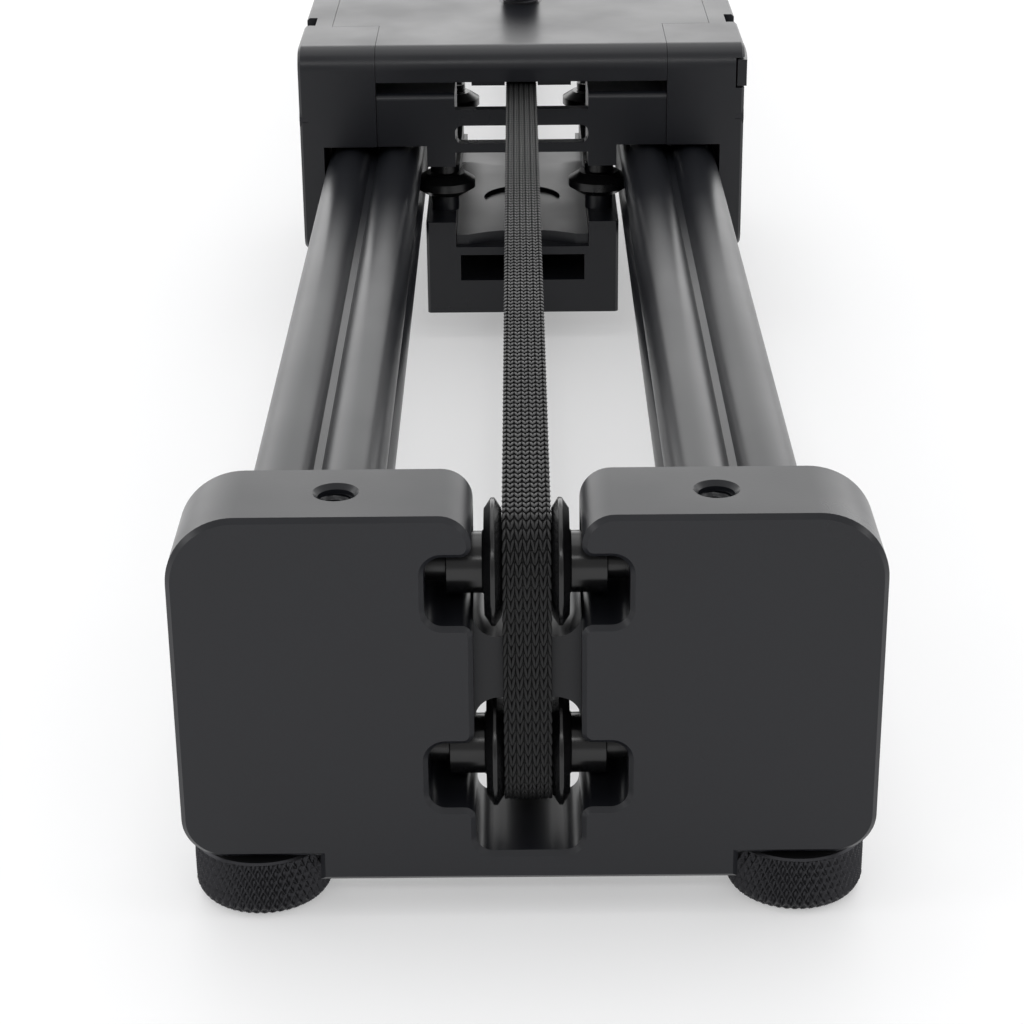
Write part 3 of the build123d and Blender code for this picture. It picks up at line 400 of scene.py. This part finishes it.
def read_array(items: bpy.types.bpy_prop_collection, name: str, width: int, kind: type) -> np.ndarray:
    """Reads one property of a mesh's faces, corners or points as a whole array.

    Args:
        items: The faces, corners or points.
        name: The property's name.
        width: How many numbers each of them has.
        kind: What kind of number they are.

    Returns:
        One number for each item, or one row where the width is more than one.
    """
    values = np.empty(len(items) * width, dtype=kind)
    items.foreach_get(name, values)
    return values.reshape(-1, width) if width > 1 else values


@dataclass
class CornerShading:
    """Shades a merged mesh smoothly, with its large flat faces even up to the roundings they run into.

    Attributes:
        data: A mesh of triangles, which gets its sharp edges and the normals of its corners.
        sharp_angle: The turn between two faces from which their edge is sharp.
        flats_lead: Whether flat faces have the say over the roundings beside them.
    """

    data: bpy.types.Mesh
    sharp_angle: float
    flats_lead: bool

    def __post_init__(self) -> None:
        """Clears what the import left, reads the mesh and pairs the two corners that start a shared edge."""
        for leftover in ("custom_normal", "sharp_face", "sharp_edge"):
            if leftover in self.data.attributes:
                self.data.attributes.remove(self.data.attributes[leftover])
        self.normal = read_array(self.data.polygons, "normal", 3, float)
        self.area = read_array(self.data.polygons, "area", 1, float)
        self.corner_point = read_array(self.data.loops, "vertex_index", 1, np.int32)
        self.corner_edge = read_array(self.data.loops, "edge_index", 1, np.int32)
        corner = np.arange(len(self.corner_edge))
        self.owner = corner // 3
        self.following = self.owner * 3 + (corner + 1) % 3
        order = np.argsort(self.corner_edge, kind="stable")
        matched = np.flatnonzero(self.corner_edge[order[1:]] == self.corner_edge[order[:-1]])
        here, there = order[matched], order[matched + 1]
        by_two = np.bincount(self.corner_edge)[self.corner_edge[here]] == 2
        opposed = self.corner_point[here] == self.corner_point[self.following[there]]
        self.here, self.there = here[by_two & opposed], there[by_two & opposed]

    def soft_edges(self) -> tuple[np.ndarray, np.ndarray]:
        """Finds the flat faces and the shared edges that are shaded smoothly.

        Triangles that share an edge and a plane make one face, which is flat where its area is several times
        that of each face that it runs into smoothly. An edge between two flat faces is sharp.

        Returns:
            Whether each triangle is flat, and whether each shared edge is soft.
        """
        one, other = self.owner[self.here], self.owner[self.there]
        turn = np.arccos(np.clip((self.normal[one] * self.normal[other]).sum(axis=1), -1, 1))
        level = turn < FLAT_ANGLE
        rounds = ~level & (turn < self.sharp_angle)
        plane = lowest_labels(len(self.area), one[level], other[level])
        whole = np.bincount(plane, weights=self.area, minlength=len(self.area))
        beside = np.zeros(len(self.area))
        np.maximum.at(beside, plane[one[rounds]], whole[plane[other[rounds]]])
        np.maximum.at(beside, plane[other[rounds]], whole[plane[one[rounds]]])
        flat = (whole[plane] > FLAT_SHARE * beside[plane]) & self.flats_lead
        return flat, level | (rounds & ~(flat[one] & flat[other]))

    def corner_angles(self) -> np.ndarray:
        """Works out each triangle's angle at each of its corners."""
        place = read_array(self.data.vertices, "co", 3, float)[self.corner_point]
        ahead = place[self.following] - place
        back = place[self.following[self.following]] - place
        return np.arctan2(np.linalg.norm(np.cross(ahead, back), axis=1), (ahead * back).sum(axis=1))

    def apply(self) -> None:
        """Marks the sharp edges and sets the corner normals.

        Round a point, the corners between two sharp edges share one normal: that of the flat face among them,
        or else the mean of their triangles' normals, each counted by its corner's angle.
        """
        flat, soft = self.soft_edges()
        here, there = self.here[soft], self.there[soft]
        sharp = np.ones(len(self.data.edges), dtype=bool)
        sharp[self.corner_edge[here]] = False
        self.data.attributes.new("sharp_edge", "BOOLEAN", "EDGE").data.foreach_set("value", sharp)
        fan = lowest_labels(len(self.owner), np.concatenate([here, self.following[here]]),
                            np.concatenate([self.following[there], there]))
        share = self.normal[self.owner] * self.corner_angles()[:, None]
        of_all, of_flat = np.zeros_like(share), np.zeros_like(share)
        np.add.at(of_all, fan, share)
        np.add.at(of_flat, fan, share * flat[self.owner, None])
        led = np.linalg.norm(of_flat[fan], axis=1, keepdims=True) > 0
        mean = np.where(led, of_flat[fan], of_all[fan])
        length = np.linalg.norm(mean, axis=1, keepdims=True)
        unit = mean / np.maximum(length, np.finfo(float).tiny)
        self.data.normals_split_custom_set(np.where(length > 0, unit, self.normal[self.owner]).tolist())


@dataclass
class FrameMetal:
    """The pieces that keep the frame's own shape and only take a finish.

    Attributes:
        left_out: Nodes that other pieces stand for.
    """

    left_out: set[str] = field(default_factory=set)

    def finish_for(self, node: str) -> Finish:
        """Picks the finish of one node."""
        if node.startswith("rail_") and "screws" not in node:
            return DRAWN_RAIL
        if "pins" in node or "roller" in node:
            return DARK_STEEL
        return BY_SLOT[NODE_SLOT[node]]

    def smooth_copy(self, node: str) -> bpy.types.Object:
        """Copies a node with its points merged, so that its round faces shade evenly.

        Args:
            node: The node to copy.

        Returns:
            The copy, which takes the node's place.
        """
        form = bmesh.new()
        form.from_mesh(frame["nodes"][node].data)
        bmesh.ops.remove_doubles(form, verts=form.verts, dist=MERGE_MM * MM)
        data = bpy.data.meshes.new(node + "_skin")
        form.to_mesh(data)
        form.free()
        sharp_angle = FINE_SHARP_ANGLE if node == "base_lid" else SHARP_ANGLE
        CornerShading(data, sharp_angle, flats_lead=not node.startswith("rail_")).apply()
        return linked(node + "_skin", data)

    def build(self) -> None:
        """Dresses every node that no other piece stands for."""
        for node in frame["nodes"]:
            if node not in self.left_out:
                dress(self.smooth_copy(node), node, self.finish_for(node))


@dataclass
class KnitBelt:
    """The belt loop: a flat core with rows of knitted stitches on its outer face.

    Attributes:
        columns: Stitches across the belt.
        row_mm: Length of one row of stitches.
        yarn_mm: Thickness of a yarn.
        outer_radius: Radius of the loop's bends at its outer face.
        thickness: Thickness of the whole belt.
        spread: How far a leg's middle lies from its column's middle, as a share of the column's width.
        lean: How far a leg leans over its whole length, as a share of the column's width.
        leg_share: Half a leg's length, as a share of a row's.
        tip_share: How much of a leg's half-length its spindle shape fills.
        sink: How deep a leg's middle lies, as a share of the yarn's thickness.
        dip_mm: How far a leg's end dips under the next row.
        half_wide: Half a leg's width, as a share of the yarn's thickness.
        half_high: Half a leg's height, as a share of the yarn's thickness.
        leg_sharp: The turn from which an edge of a leg is sharp.
        core_steps: Sections of the core along the whole loop.
        round_steps: Points round a section of the core, and sections of it in a bend.
        leg_steps: Sections of a leg, and points round each.
    """

    columns: int = 6
    row_mm: float = 1.75
    yarn_mm: float = 0.66
    outer_radius: float = 8.2
    thickness: float = 1.5
    spread: float = 0.26
    lean: float = 0.36
    leg_share: float = 0.66
    tip_share: float = 0.96
    sink: float = 0.40
    dip_mm: float = 0.16
    half_wide: float = 0.44
    half_high: float = 0.42
    leg_sharp: float = math.radians(80)
    core_steps: int = 420
    round_steps: int = 24
    leg_steps: int = 6

    def __post_init__(self) -> None:
        """Reads the loop's size from the frame and adds up its stretches.

        They are the top run, the rear bend, drop and bend, the bottom run, and the front bend, rise and bend.
        """
        low, high = box_mm("drive_belt")
        self.width = high[0] - low[0]
        self.centre_y = high[1] - self.outer_radius
        self.low_z, self.high_z = low[2] + self.outer_radius, high[2] - self.outer_radius
        bend = self.outer_radius * TAU / 4
        long, short = 2 * self.centre_y, self.high_z - self.low_z
        self.ends = np.cumsum([0.0, long, bend, short, bend, long, bend, short, bend])
        self.total = self.ends[-1]

    def place(self, along: np.ndarray, height: np.ndarray) -> tuple[np.ndarray, np.ndarray, np.ndarray]:
        """Finds points on the loop, counted from the front of its upper run towards the rear.

        On a straight stretch the point moves along it; on a bend it turns about the bend's centre by the
        distance over the outer radius. Height is counted outwards from the outer face.

        Args:
            along: Distance along the loop.
            height: Height above the outer face.

        Returns:
            Y, Z and the angle of the outward direction, from +Z towards +Y.
        """
        along = np.mod(along, self.total)
        piece = np.clip(np.searchsorted(self.ends, along, side="right") - 1, 0, len(self.ends) - 2)
        past = along - self.ends[piece]
        corner_y = np.array([-1, 1, 1, 1, 1, -1, -1, -1])[piece] * self.centre_y
        corner_z = np.where(np.isin(piece, (0, 1, 2, 7)), self.high_z, self.low_z)
        start = piece // 2 * TAU / 4
        bending = piece % 2 == 1
        angle = start + np.where(bending, past / self.outer_radius, 0.0)
        ahead = np.where(bending, 0.0, past)
        reach = self.outer_radius + height
        y = corner_y + reach * np.sin(angle) + ahead * np.cos(angle)
        z = corner_z + reach * np.cos(angle) - ahead * np.sin(angle)
        return y, z, angle

    def core(self) -> bpy.types.Object:
        """Makes the tape under the stitches, a flat section with round edges carried round the loop."""
        bends = [np.linspace(self.ends[k], self.ends[k + 1], self.round_steps) for k in (1, 3, 5, 7)]
        even = np.linspace(0, self.total, self.core_steps, endpoint=False)
        along = np.unique(np.concatenate([even, self.ends[:-1]] + bends))
        along = along[along < self.total - 1e-6]
        turn = np.arange(self.round_steps) * TAU / self.round_steps
        half_thick = (self.thickness - self.yarn_mm / 2) / 2
        across = np.sign(np.cos(turn)) * (self.width / 2 - half_thick) + half_thick * np.cos(turn)
        high = -self.thickness + half_thick + half_thick * np.sin(turn)
        s, x = np.meshgrid(along, across, indexing="ij")
        _, h = np.meshgrid(along, high, indexing="ij")
        y, z, _ = self.place(s, h)
        points = np.stack([x, y, z], axis=-1).reshape(-1, 3)
        return mesh_piece("belt_core", points, grid_faces(len(along), self.round_steps, True, True))

    def leg(self) -> tuple[np.ndarray, np.ndarray, np.ndarray]:
        """Works out one leg of a stitch about its column's middle and its row's start.

        Its middle line runs along the belt and leans across it, and dips towards one end. Its section is a
        flattened circle whose girth is the root of one less the square of the distance from the leg's middle.

        Returns:
            Distances across, along and above the outer face, by section and point.
        """
        share = np.linspace(-1, 1, self.leg_steps)
        turn = np.arange(self.leg_steps) * TAU / self.leg_steps
        t, phi = np.meshgrid(share, turn, indexing="ij")
        girth = np.sqrt(np.clip(1 - (self.tip_share * t) ** 2, 0, 1)) * self.yarn_mm
        middle_x = self.width / self.columns * (self.spread - self.lean * 0.5 * t)
        middle_h = -self.yarn_mm * self.sink - self.dip_mm * t
        x = middle_x + girth * self.half_wide * np.cos(phi)
        h = middle_h + girth * self.half_high * np.sin(phi)
        return x, t * self.row_mm * self.leg_share, np.minimum(h, 0.0)

    def leg_faces(self) -> np.ndarray:
        """Numbers the points of one leg's sides and of its two ends, each end as two cells."""
        count = self.leg_steps
        cap = np.array([[0, 1, 2, 3], [0, 3, 4, 5]])
        last = cap[:, ::-1] + (count - 1) * count
        return np.concatenate([grid_faces(count, count, False, True), cap, last])

    def stitches(self, name: str, start: float, end: float) -> bpy.types.Object:
        """Makes the stitches of one stretch: each is a V of two spindle-shaped legs, one mirroring the other.

        Args:
            name: The piece's name.
            start: First row's distance along the loop.
            end: The distance that all of its rows start before.

        Returns:
            The new object.
        """
        count = round(self.total / self.row_mm)
        rows = np.arange(count) * self.total / count
        rows = rows[(rows >= start) & (rows < end)]
        columns = (np.arange(self.columns) + 0.5) * self.width / self.columns - self.width / 2
        grids = np.meshgrid(rows, columns, np.array([-1.0, 1.0]), indexing="ij")
        row, column, side = (grid.reshape(-1, 1, 1) for grid in grids)
        leg_x, leg_s, leg_h = self.leg()
        x, s, h = np.broadcast_arrays(column + side * leg_x, row + leg_s, leg_h)
        y, z, _ = self.place(s, h)
        points = np.stack([x, y, z], axis=-1).reshape(-1, 3)
        one = self.leg_faces()
        first_point = np.arange(len(side)).reshape(-1, 1, 1) * leg_x.size
        faces = np.where(side > 0, one, one[:, ::-1]) + first_point
        return mesh_piece(name, points, faces.reshape(-1, 4), self.leg_sharp)

    def build(self) -> None:
        """Makes the core and the stitches of the loop's stretches."""
        # The core's darker colour is painted shade between the stitches.
        dress(self.core(), "drive_belt", SHADED_CORE)
        stretches = (("upper_run", 0, 1), ("rear_bend", 1, 4), ("lower_run", 4, 5), ("front_bend", 5, 8))
        for name, first, last in stretches:
            dress(self.stitches("belt_" + name, self.ends[first], self.ends[last]), "drive_belt", YARN)


@dataclass
class Pulley:
    """A turned pulley with two sharp-rimmed flanges and two hubs.

    Attributes:
        node: The frame's node.
        drum: Radius that the belt runs over.
        hub: Radius of the hubs.
        bore: Radius inside them.
        inner: Inner face of a flange, from the pulley's middle.
        outer: Outer face of a flange.
        taper: How far in from the rim a flange's flat face starts.
        rim_half: Half the width of the rim.
        rim_bevel: How far in and how far along the bevel beside the rim goes.
        fillet: Bevel between the drum and a flange.
        hub_fillet: Bevel between a hub and a flange.
        soft: How far in and how far along the broken edge of a flange's flat face goes.
        broken: Bevel of the hub's end.
        segments: Steps in a full turn.
    """

    node: str
    drum: float = 6.4
    hub: float = 4.4
    bore: float = 3.7
    inner: float = 3.5
    outer: float = 6.0
    taper: float = 1.4
    rim_half: float = 0.18
    rim_bevel: tuple[float, float] = (0.06, 0.12)
    fillet: float = 0.35
    hub_fillet: float = 0.3
    soft: tuple[float, float] = (0.1, 0.08)
    broken: float = 0.15
    segments: int = 128

    def build(self) -> None:
        """Turns the pulley from its real profile, with every corner broken."""
        low, high = box_mm(self.node)
        reach, _, rim = (high - low) / 2
        middle = (self.inner + self.outer) / 2
        shoulder = rim - self.taper
        bevel_in, bevel_along = self.rim_bevel
        bevelled, flank = rim - bevel_in, self.rim_half + bevel_along
        soft_in, soft_along = self.soft
        half = [
            (self.drum, self.inner - self.fillet), (self.drum + self.fillet, self.inner),
            (shoulder - soft_in, self.inner), (shoulder, self.inner + soft_along),
            (bevelled, middle - flank), (rim, middle - self.rim_half),
            (rim, middle + self.rim_half), (bevelled, middle + flank),
            (shoulder, self.outer - soft_along), (shoulder - soft_in, self.outer),
            (self.hub + self.hub_fillet, self.outer), (self.hub, self.outer + self.hub_fillet),
            (self.hub, reach - self.broken), (self.hub - self.broken, reach), (self.bore, reach),
        ]
        profile = half + [(r, -x) for r, x in reversed(half)]
        made = turned(self.node + "_turned", profile, (low + high) / 2, self.segments)
        dress(made, self.node, GLOSS_BLACK)


@dataclass
class ThumbWheel:
    """The knurled wheel of a levelling foot.

    Attributes:
        node: The frame's node.
        teeth: Diamonds round the wheel.
        depth_mm: Depth of the knurl.
        steepness: Height of a diamond over its width.
        edge: Radius of the round lower edge.
        rim: Bevel of the upper edge.
        flanks: How steeply a pit's sides fall on the ridges that lean one way and the other.
        knurl_from: How much of the round edge the knurl leaves plain, as a share of its radius.
        edge_steps: Points up the round edge.
        side_steps: Points up the side.
        tooth_steps: Points round each diamond.
        sharp: The turn from which an edge is sharp.
    """

    node: str
    teeth: int = 48
    depth_mm: float = 0.5
    steepness: float = 1.9
    edge: float = 2.6
    rim: float = 0.3
    flanks: tuple[float, float] = (1.5, 2.0)
    knurl_from: float = 0.75
    edge_steps: int = 16
    side_steps: int = 44
    tooth_steps: int = 8
    sharp: float = math.radians(24)

    def build(self) -> None:
        """Works the wheel out as a radius that depends on the turn and on the distance up its side.

        The outline goes from the underside's middle over the round lower edge, up the side and over the top.
        Two sets of crossing ridges, one leaning each way, stand in the side with a pit in each diamond.
        """
        low, high = box_mm(self.node)
        radius, height = (high - low)[0] / 2, (high - low)[2]
        bend = np.linspace(0, TAU / 4, self.edge_steps)
        side = np.linspace(self.edge, height - self.rim, self.side_steps)
        outline_r = np.concatenate([[AXIS_RADIUS], radius - self.edge + self.edge * np.sin(bend),
                                    np.full(self.side_steps, radius), [radius - self.rim, AXIS_RADIUS]])
        outline_z = np.concatenate([[0.0], self.edge - self.edge * np.cos(bend), side, [height, height]])
        way = np.concatenate([[0.0], np.cumsum(np.hypot(np.diff(outline_r), np.diff(outline_z)))])
        segments = self.teeth * self.tooth_steps
        r, u = np.meshgrid(outline_r, np.arange(segments) / segments, indexing="ij")
        slant = way[:, None] / (self.steepness * TAU * radius / self.teeth)
        first, second = tooth(u * self.teeth - slant), tooth(u * self.teeth + slant)
        pit = np.minimum(np.clip(first * self.flanks[0], 0, 1), np.clip(second * self.flanks[1], 0, 1))
        knurled = (r > radius - self.edge * self.knurl_from) & (outline_z[:, None] < height - self.rim)
        r = r - self.depth_mm * pit * knurled
        z = np.broadcast_to(low[2] + outline_z[:, None], r.shape)
        points = round_points(r, u, z, (low + high) / 2)
        faces = grid_faces(len(outline_r), segments, False, True)
        dress(mesh_piece(self.node + "_knurled", points, faces, self.sharp), self.node, BLACK_STEEL)


@dataclass
class Thread:
    """A cut thread, inside a hole or outside a stud.

    Attributes:
        pitch_mm: Distance from turn to turn.
        depth_mm: Depth of the thread.
        flank_gain: How much steeper the flanks are than a wave without flats.
        root_flat: How much of the wave's height the root's flat takes.
        segments: Steps in a full turn.
        turn_steps: Points along one pitch.
    """

    pitch_mm: float
    depth_mm: float
    flank_gain: float = 1.25
    root_flat: float = 0.1
    segments: int = 48
    turn_steps: int = 10

    def depth(self, u: np.ndarray, z: np.ndarray) -> np.ndarray:
        """Works out the thread as a wave of straight flanks wound into a helix.

        Args:
            u: The turn, where one is a full turn.
            z: The height.

        Returns:
            Nought to the thread's whole depth.
        """
        wave = tooth(z / self.pitch_mm - u) * self.flank_gain - self.root_flat
        return self.depth_mm * np.clip(wave, 0, 1)

    def sleeve(self, name: str, centre: Sequence[float], outer: float, low: float,
               high: float) -> bpy.types.Object:
        """Makes a thin threaded lining for a hole.

        Args:
            name: The piece's name.
            centre: X and Y of the hole's axis.
            outer: The hole's radius.
            low: Height of its lower end.
            high: Height of its upper end.

        Returns:
            The new object.
        """
        steps = max(8, int((high - low) / self.pitch_mm * self.turn_steps))
        turn = np.arange(self.segments) / self.segments
        heights = np.concatenate([np.linspace(low, high, steps), [high, low]])
        u, z = np.meshgrid(turn, heights, indexing="xy")
        r = outer - self.depth_mm + self.depth(u, z)
        r[steps:] = outer
        points = round_points(r, u, z, centre)
        return mesh_piece(name, points, grid_faces(len(heights), self.segments, True, True))


@dataclass
class TappedHoles:
    """Threads of the accessory holes in the blocks and of the tripod holes under the base carriage.

    Attributes:
        quarter: The 1/4-20 thread.
        three_eighths: The 3/8-16 thread.
        between: A hole's radius that parts the one from the other.
        block_sink: How far a block's thread lies below its hole's middle.
        base_rise: How far the base's thread lies above its hole's middle.
        low_margin: What the thread leaves free at the hole's lower end.
        high_margin: What it leaves free at the upper end.
    """

    quarter: Thread = field(default_factory=lambda: Thread(1.27, 0.36))
    three_eighths: Thread = field(default_factory=lambda: Thread(1.5875, 0.45))
    between: float = 3.0
    block_sink: float = 0.2
    base_rise: float = 0.1
    low_margin: float = 0.5
    high_margin: float = 0.3

    def build(self) -> None:
        """Lines each tapped hole that the record names."""
        for mount in frame["record"]["mounts"]:
            if mount["kind"] != "threaded_hole":
                continue
            radius = mount["dims"]["r_mm"]
            half = mount["dims"]["length_mm"] / 2
            x, y, z = (v / MM for v in mount["pos_m"])
            block = mount["name"].startswith("accessory")
            node = "end_block_" + ("front" if y < 0 else "rear") if block else "base_body"
            thread = self.quarter if radius < self.between else self.three_eighths
            middle = z - self.block_sink if block else z + self.base_rise
            low, high = middle - half + self.low_margin, middle + half - self.high_margin
            made = thread.sleeve(mount["name"] + "_thread", (x, y), radius, low, high)
            dress(made, node, ANODISED, stands_in=False)


@dataclass
class CameraStud:
    """The threaded stud on the carriage.

    Attributes:
        node: The frame's node.
        thread: Its 3/8-16 thread.
        radius: The thread's outer radius.
        flange: Radius of the flange under the cover.
        flange_height: Height of the flange.
        seat: Height of the carriage's top face.
        shank: Radius of the shank in the cover.
        neck: Radius of the groove under the thread.
        neck_height: Height of that groove.
        bevel: Bevel of the tip.
        segments: Steps in a full turn.
        steps: Points up the thread.
    """

    node: str = "camera_stud"
    thread: Thread = field(default_factory=lambda: Thread(1.5875, 0.75))
    radius: float = 4.76
    flange: float = 9.0
    flange_height: float = 2.0
    seat: float = 69.1
    shank: float = 5.2
    neck: float = 4.2
    neck_height: float = 0.5
    bevel: float = 0.9
    segments: int = 72
    steps: int = 90

    def build(self) -> None:
        """Works out the stud: a flange below, a shank, a plain neck and the thread, bevelled at the top."""
        (_, _, floor), (_, _, top) = box_mm(self.node)
        flange_top, neck_top = floor + self.flange_height, self.seat + self.neck_height
        outline = [
            (AXIS_RADIUS, floor), (self.flange, floor), (self.flange, flange_top), (self.shank, flange_top),
            (self.shank, self.seat), (self.neck, self.seat), (self.neck, neck_top),
        ]
        outline += [(self.radius, height) for height in np.linspace(neck_top, top, self.steps)]
        outline_r, heights = np.array(outline + [(AXIS_RADIUS, top)]).T
        u, z = np.meshgrid(np.arange(self.segments) / self.segments, heights, indexing="xy")
        r = np.repeat(outline_r[:, None], self.segments, axis=1)
        threaded = (z >= neck_top) & (r > self.neck) & (r < self.shank)
        cut = self.radius - self.thread.depth(u, z)
        tip = np.clip(self.radius - self.bevel + (top - z), AXIS_RADIUS, self.radius)
        points = round_points(np.where(threaded, np.minimum(cut, tip), r), u, z)
        faces = grid_faces(len(heights), self.segments, False, True)
        dress(mesh_piece("camera_stud_thread", points, faces), self.node, BLACK_STEEL)


@dataclass(frozen=True)
class Lamp:
    """One soft rectangular lamp.

    Attributes:
        name: The lamp's name.
        place_mm: Where it hangs.
        aim_mm: What it points at.
        size_mm: Its width and depth.
        watts: Its power.
    """

    name: str
    place_mm: tuple[float, float, float]
    aim_mm: tuple[float, float, float]
    size_mm: tuple[float, float]
    watts: float

    def hang(self) -> None:
        """Hangs the lamp, turned so that it shines at its aim."""
        light = bpy.data.lights.new(self.name, "AREA")
        light.shape = "RECTANGLE"
        light.size, light.size_y = (v * MM for v in self.size_mm)
        light.energy = self.watts
        spot = np.array(self.place_mm, dtype=float)
        away = spot - np.array(self.aim_mm, dtype=float)
        away /= np.linalg.norm(away)
        side = np.cross([0.0, 1.0, 0.0], away)
        side /= np.linalg.norm(side)
        place = np.eye(4)
        place[:3, 0], place[:3, 1], place[:3, 2] = side, np.cross(away, side), away
        place[:3, 3] = spot * MM
        linked(self.name, light).matrix_world = Matrix(place.tolist())


LAMPS = (
    Lamp("overhead_softbox", (0, 300, 1500), (0, 0, 0), (1200, 1600), 5.0),
    Lamp("back_softbox", (0, 2200, 720), (0, 0, 60), (3600, 1300), 14.0),
    Lamp("front_strip", (0, -1500, 1000), (0, 0, 60), (2600, 160), 6.5),
    Lamp("left_strip", (-1300, -100, 700), (0, 0, 30), (300, 1500), 4.0),
    Lamp("right_strip", (1300, 0, 700), (0, 0, 30), (300, 1500), 3.0),
)


@dataclass
class Studio:
    """The pale floor, the soft light and the camera at the photograph's view.

    Attributes:
        camera_mm: Where the lens is.
        pitch: Degrees the camera looks down.
        yaw: Degrees it looks to the right.
        roll: Degrees the picture leans.
        focal_px: Focal length in pixels of the frame.
        frame_px: Width of the frame in pixels.
        floor_reach_mm: How far the floor goes each way.
        floor_colour: Its sRGB hex colour.
        floor_white: Share of plain white mixed into it where the camera sees it.
        room_from: The room's brightness behind the camera and where along Y it starts to rise.
        room_to: Its brightness over the rear and where it stops rising.
    """

    camera_mm: tuple[float, float, float] = (-0.49, -617.3, 202.8)
    pitch: float = 23.577
    yaw: float = -0.264
    roll: float = 0.602
    focal_px: float = 2545.6
    frame_px: int = 1024
    floor_reach_mm: float = 4000.0
    floor_colour: str = "#f7f7f8"
    floor_white: float = 0.36
    room_from: tuple[float, float] = (0.5, -0.9)
    room_to: tuple[float, float] = (1.0, 0.5)

    def camera(self) -> None:
        """Places the camera: its axes come from the pitch, the yaw and the roll in turn."""
        pitch, yaw, roll = (math.radians(v) for v in (self.pitch, self.yaw, self.roll))
        ahead = np.array([math.sin(yaw) * math.cos(pitch), math.cos(yaw) * math.cos(pitch), -math.sin(pitch)])
        right = np.array([math.cos(yaw), -math.sin(yaw), 0.0])
        down = np.cross(ahead, right)
        across = math.cos(roll) * right + math.sin(roll) * down
        below = -math.sin(roll) * right + math.cos(roll) * down
        place = np.eye(4)
        place[:3, 0], place[:3, 1], place[:3, 2] = across, -below, -ahead
        place[:3, 3] = np.array(self.camera_mm) * MM
        lens = bpy.data.cameras.new("photo_view")
        lens.sensor_width = 36.0
        lens.lens = self.focal_px * lens.sensor_width / self.frame_px
        lens.clip_start, lens.clip_end = 0.01, 50.0
        camera = linked("photo_view", lens)
        camera.matrix_world = Matrix(place.tolist())
        bpy.context.scene.camera = camera

    def floor(self) -> None:
        """Lays the floor, which keeps the shadows but is near white where the camera or a mirror sees it."""
        reach = self.floor_reach_mm * MM
        corners = [(-reach, -reach, 0), (reach, -reach, 0), (reach, reach, 0), (-reach, reach, 0)]
        data = bpy.data.meshes.new("floor")
        data.from_pydata(corners, [], [[0, 1, 2, 3]])
        paper = bpy.data.materials.new("white_table_laminate")
        paper.use_nodes = True
        tree = paper.node_tree
        tree.nodes.clear()
        shaded = add(tree, "ShaderNodeBsdfPrincipled",
                     {"Base Color": linear(self.floor_colour), "Roughness": 0.6})
        white = add(tree, "ShaderNodeEmission", {"Color": (1.0, 1.0, 1.0, 1.0), "Strength": 1.0})
        path = add(tree, "ShaderNodeLightPath")
        mirrored = add(tree, "ShaderNodeMath", {"operation": "MAXIMUM"},
                       {0: path.outputs["Is Glossy Ray"], 1: path.outputs["Is Transmission Ray"]})
        seen = add(tree, "ShaderNodeMath", {"operation": "MAXIMUM"},
                   {0: path.outputs["Is Camera Ray"], 1: mirrored.outputs[0]})
        share = add(tree, "ShaderNodeMath", {"operation": "MULTIPLY", 1: self.floor_white},
                    {0: seen.outputs[0]})
        mixed = add(tree, "ShaderNodeMixShader", links={0: share.outputs[0], 1: shaded.outputs["BSDF"],
                                                        2: white.outputs["Emission"]})
        add(tree, "ShaderNodeOutputMaterial", links={"Surface": mixed.outputs["Shader"]})
        data.materials.append(paper)
        linked("floor", data)

    def world(self) -> None:
        """Lights the whole room softly, dimmer on the side that the picture is taken from."""
        world = bpy.data.worlds.new("soft_room")
        world.use_nodes = True
        tree = world.node_tree
        tree.nodes.clear()
        aim = add(tree, "ShaderNodeTexCoord")
        parts = add(tree, "ShaderNodeSeparateXYZ", links={"Vector": aim.outputs["Generated"]})
        level = add(tree, "ShaderNodeMapRange", {
            "From Min": self.room_from[1], "From Max": self.room_to[1],
            "To Min": self.room_from[0], "To Max": self.room_to[0],
        }, {"Value": parts.outputs["Y"]})
        back = add(tree, "ShaderNodeBackground", {"Color": (1.0, 1.0, 1.0, 1.0)},
                   {"Strength": level.outputs["Result"]})
        add(tree, "ShaderNodeOutputWorld", links={"Surface": back.outputs["Background"]})
        bpy.context.scene.world = world

    def build(self) -> None:
        """Sets the whole stage."""
        self.camera()
        self.floor()
        self.world()
        for lamp in LAMPS:
            lamp.hang()
        bpy.context.scene.view_settings.view_transform = "Standard"


def main() -> None:
    """Builds the stage and every piece of the slider."""
    logging.basicConfig(level=logging.INFO, format="%(message)s")
    Studio().build()
    KnitBelt().build()
    made = {"drive_belt", "camera_stud"}
    for node in list(frame["nodes"]):
        if node.startswith("pulley_") and "bearings" not in node and "pins" not in node:
            Pulley(node).build()
            made.add(node)
        if node.startswith("foot_wheel_"):
            ThumbWheel(node).build()
            made.add(node)
    TappedHoles().build()
    CameraStud().build()
    FrameMetal(made).build()


if __name__ == "__main__":
    main()
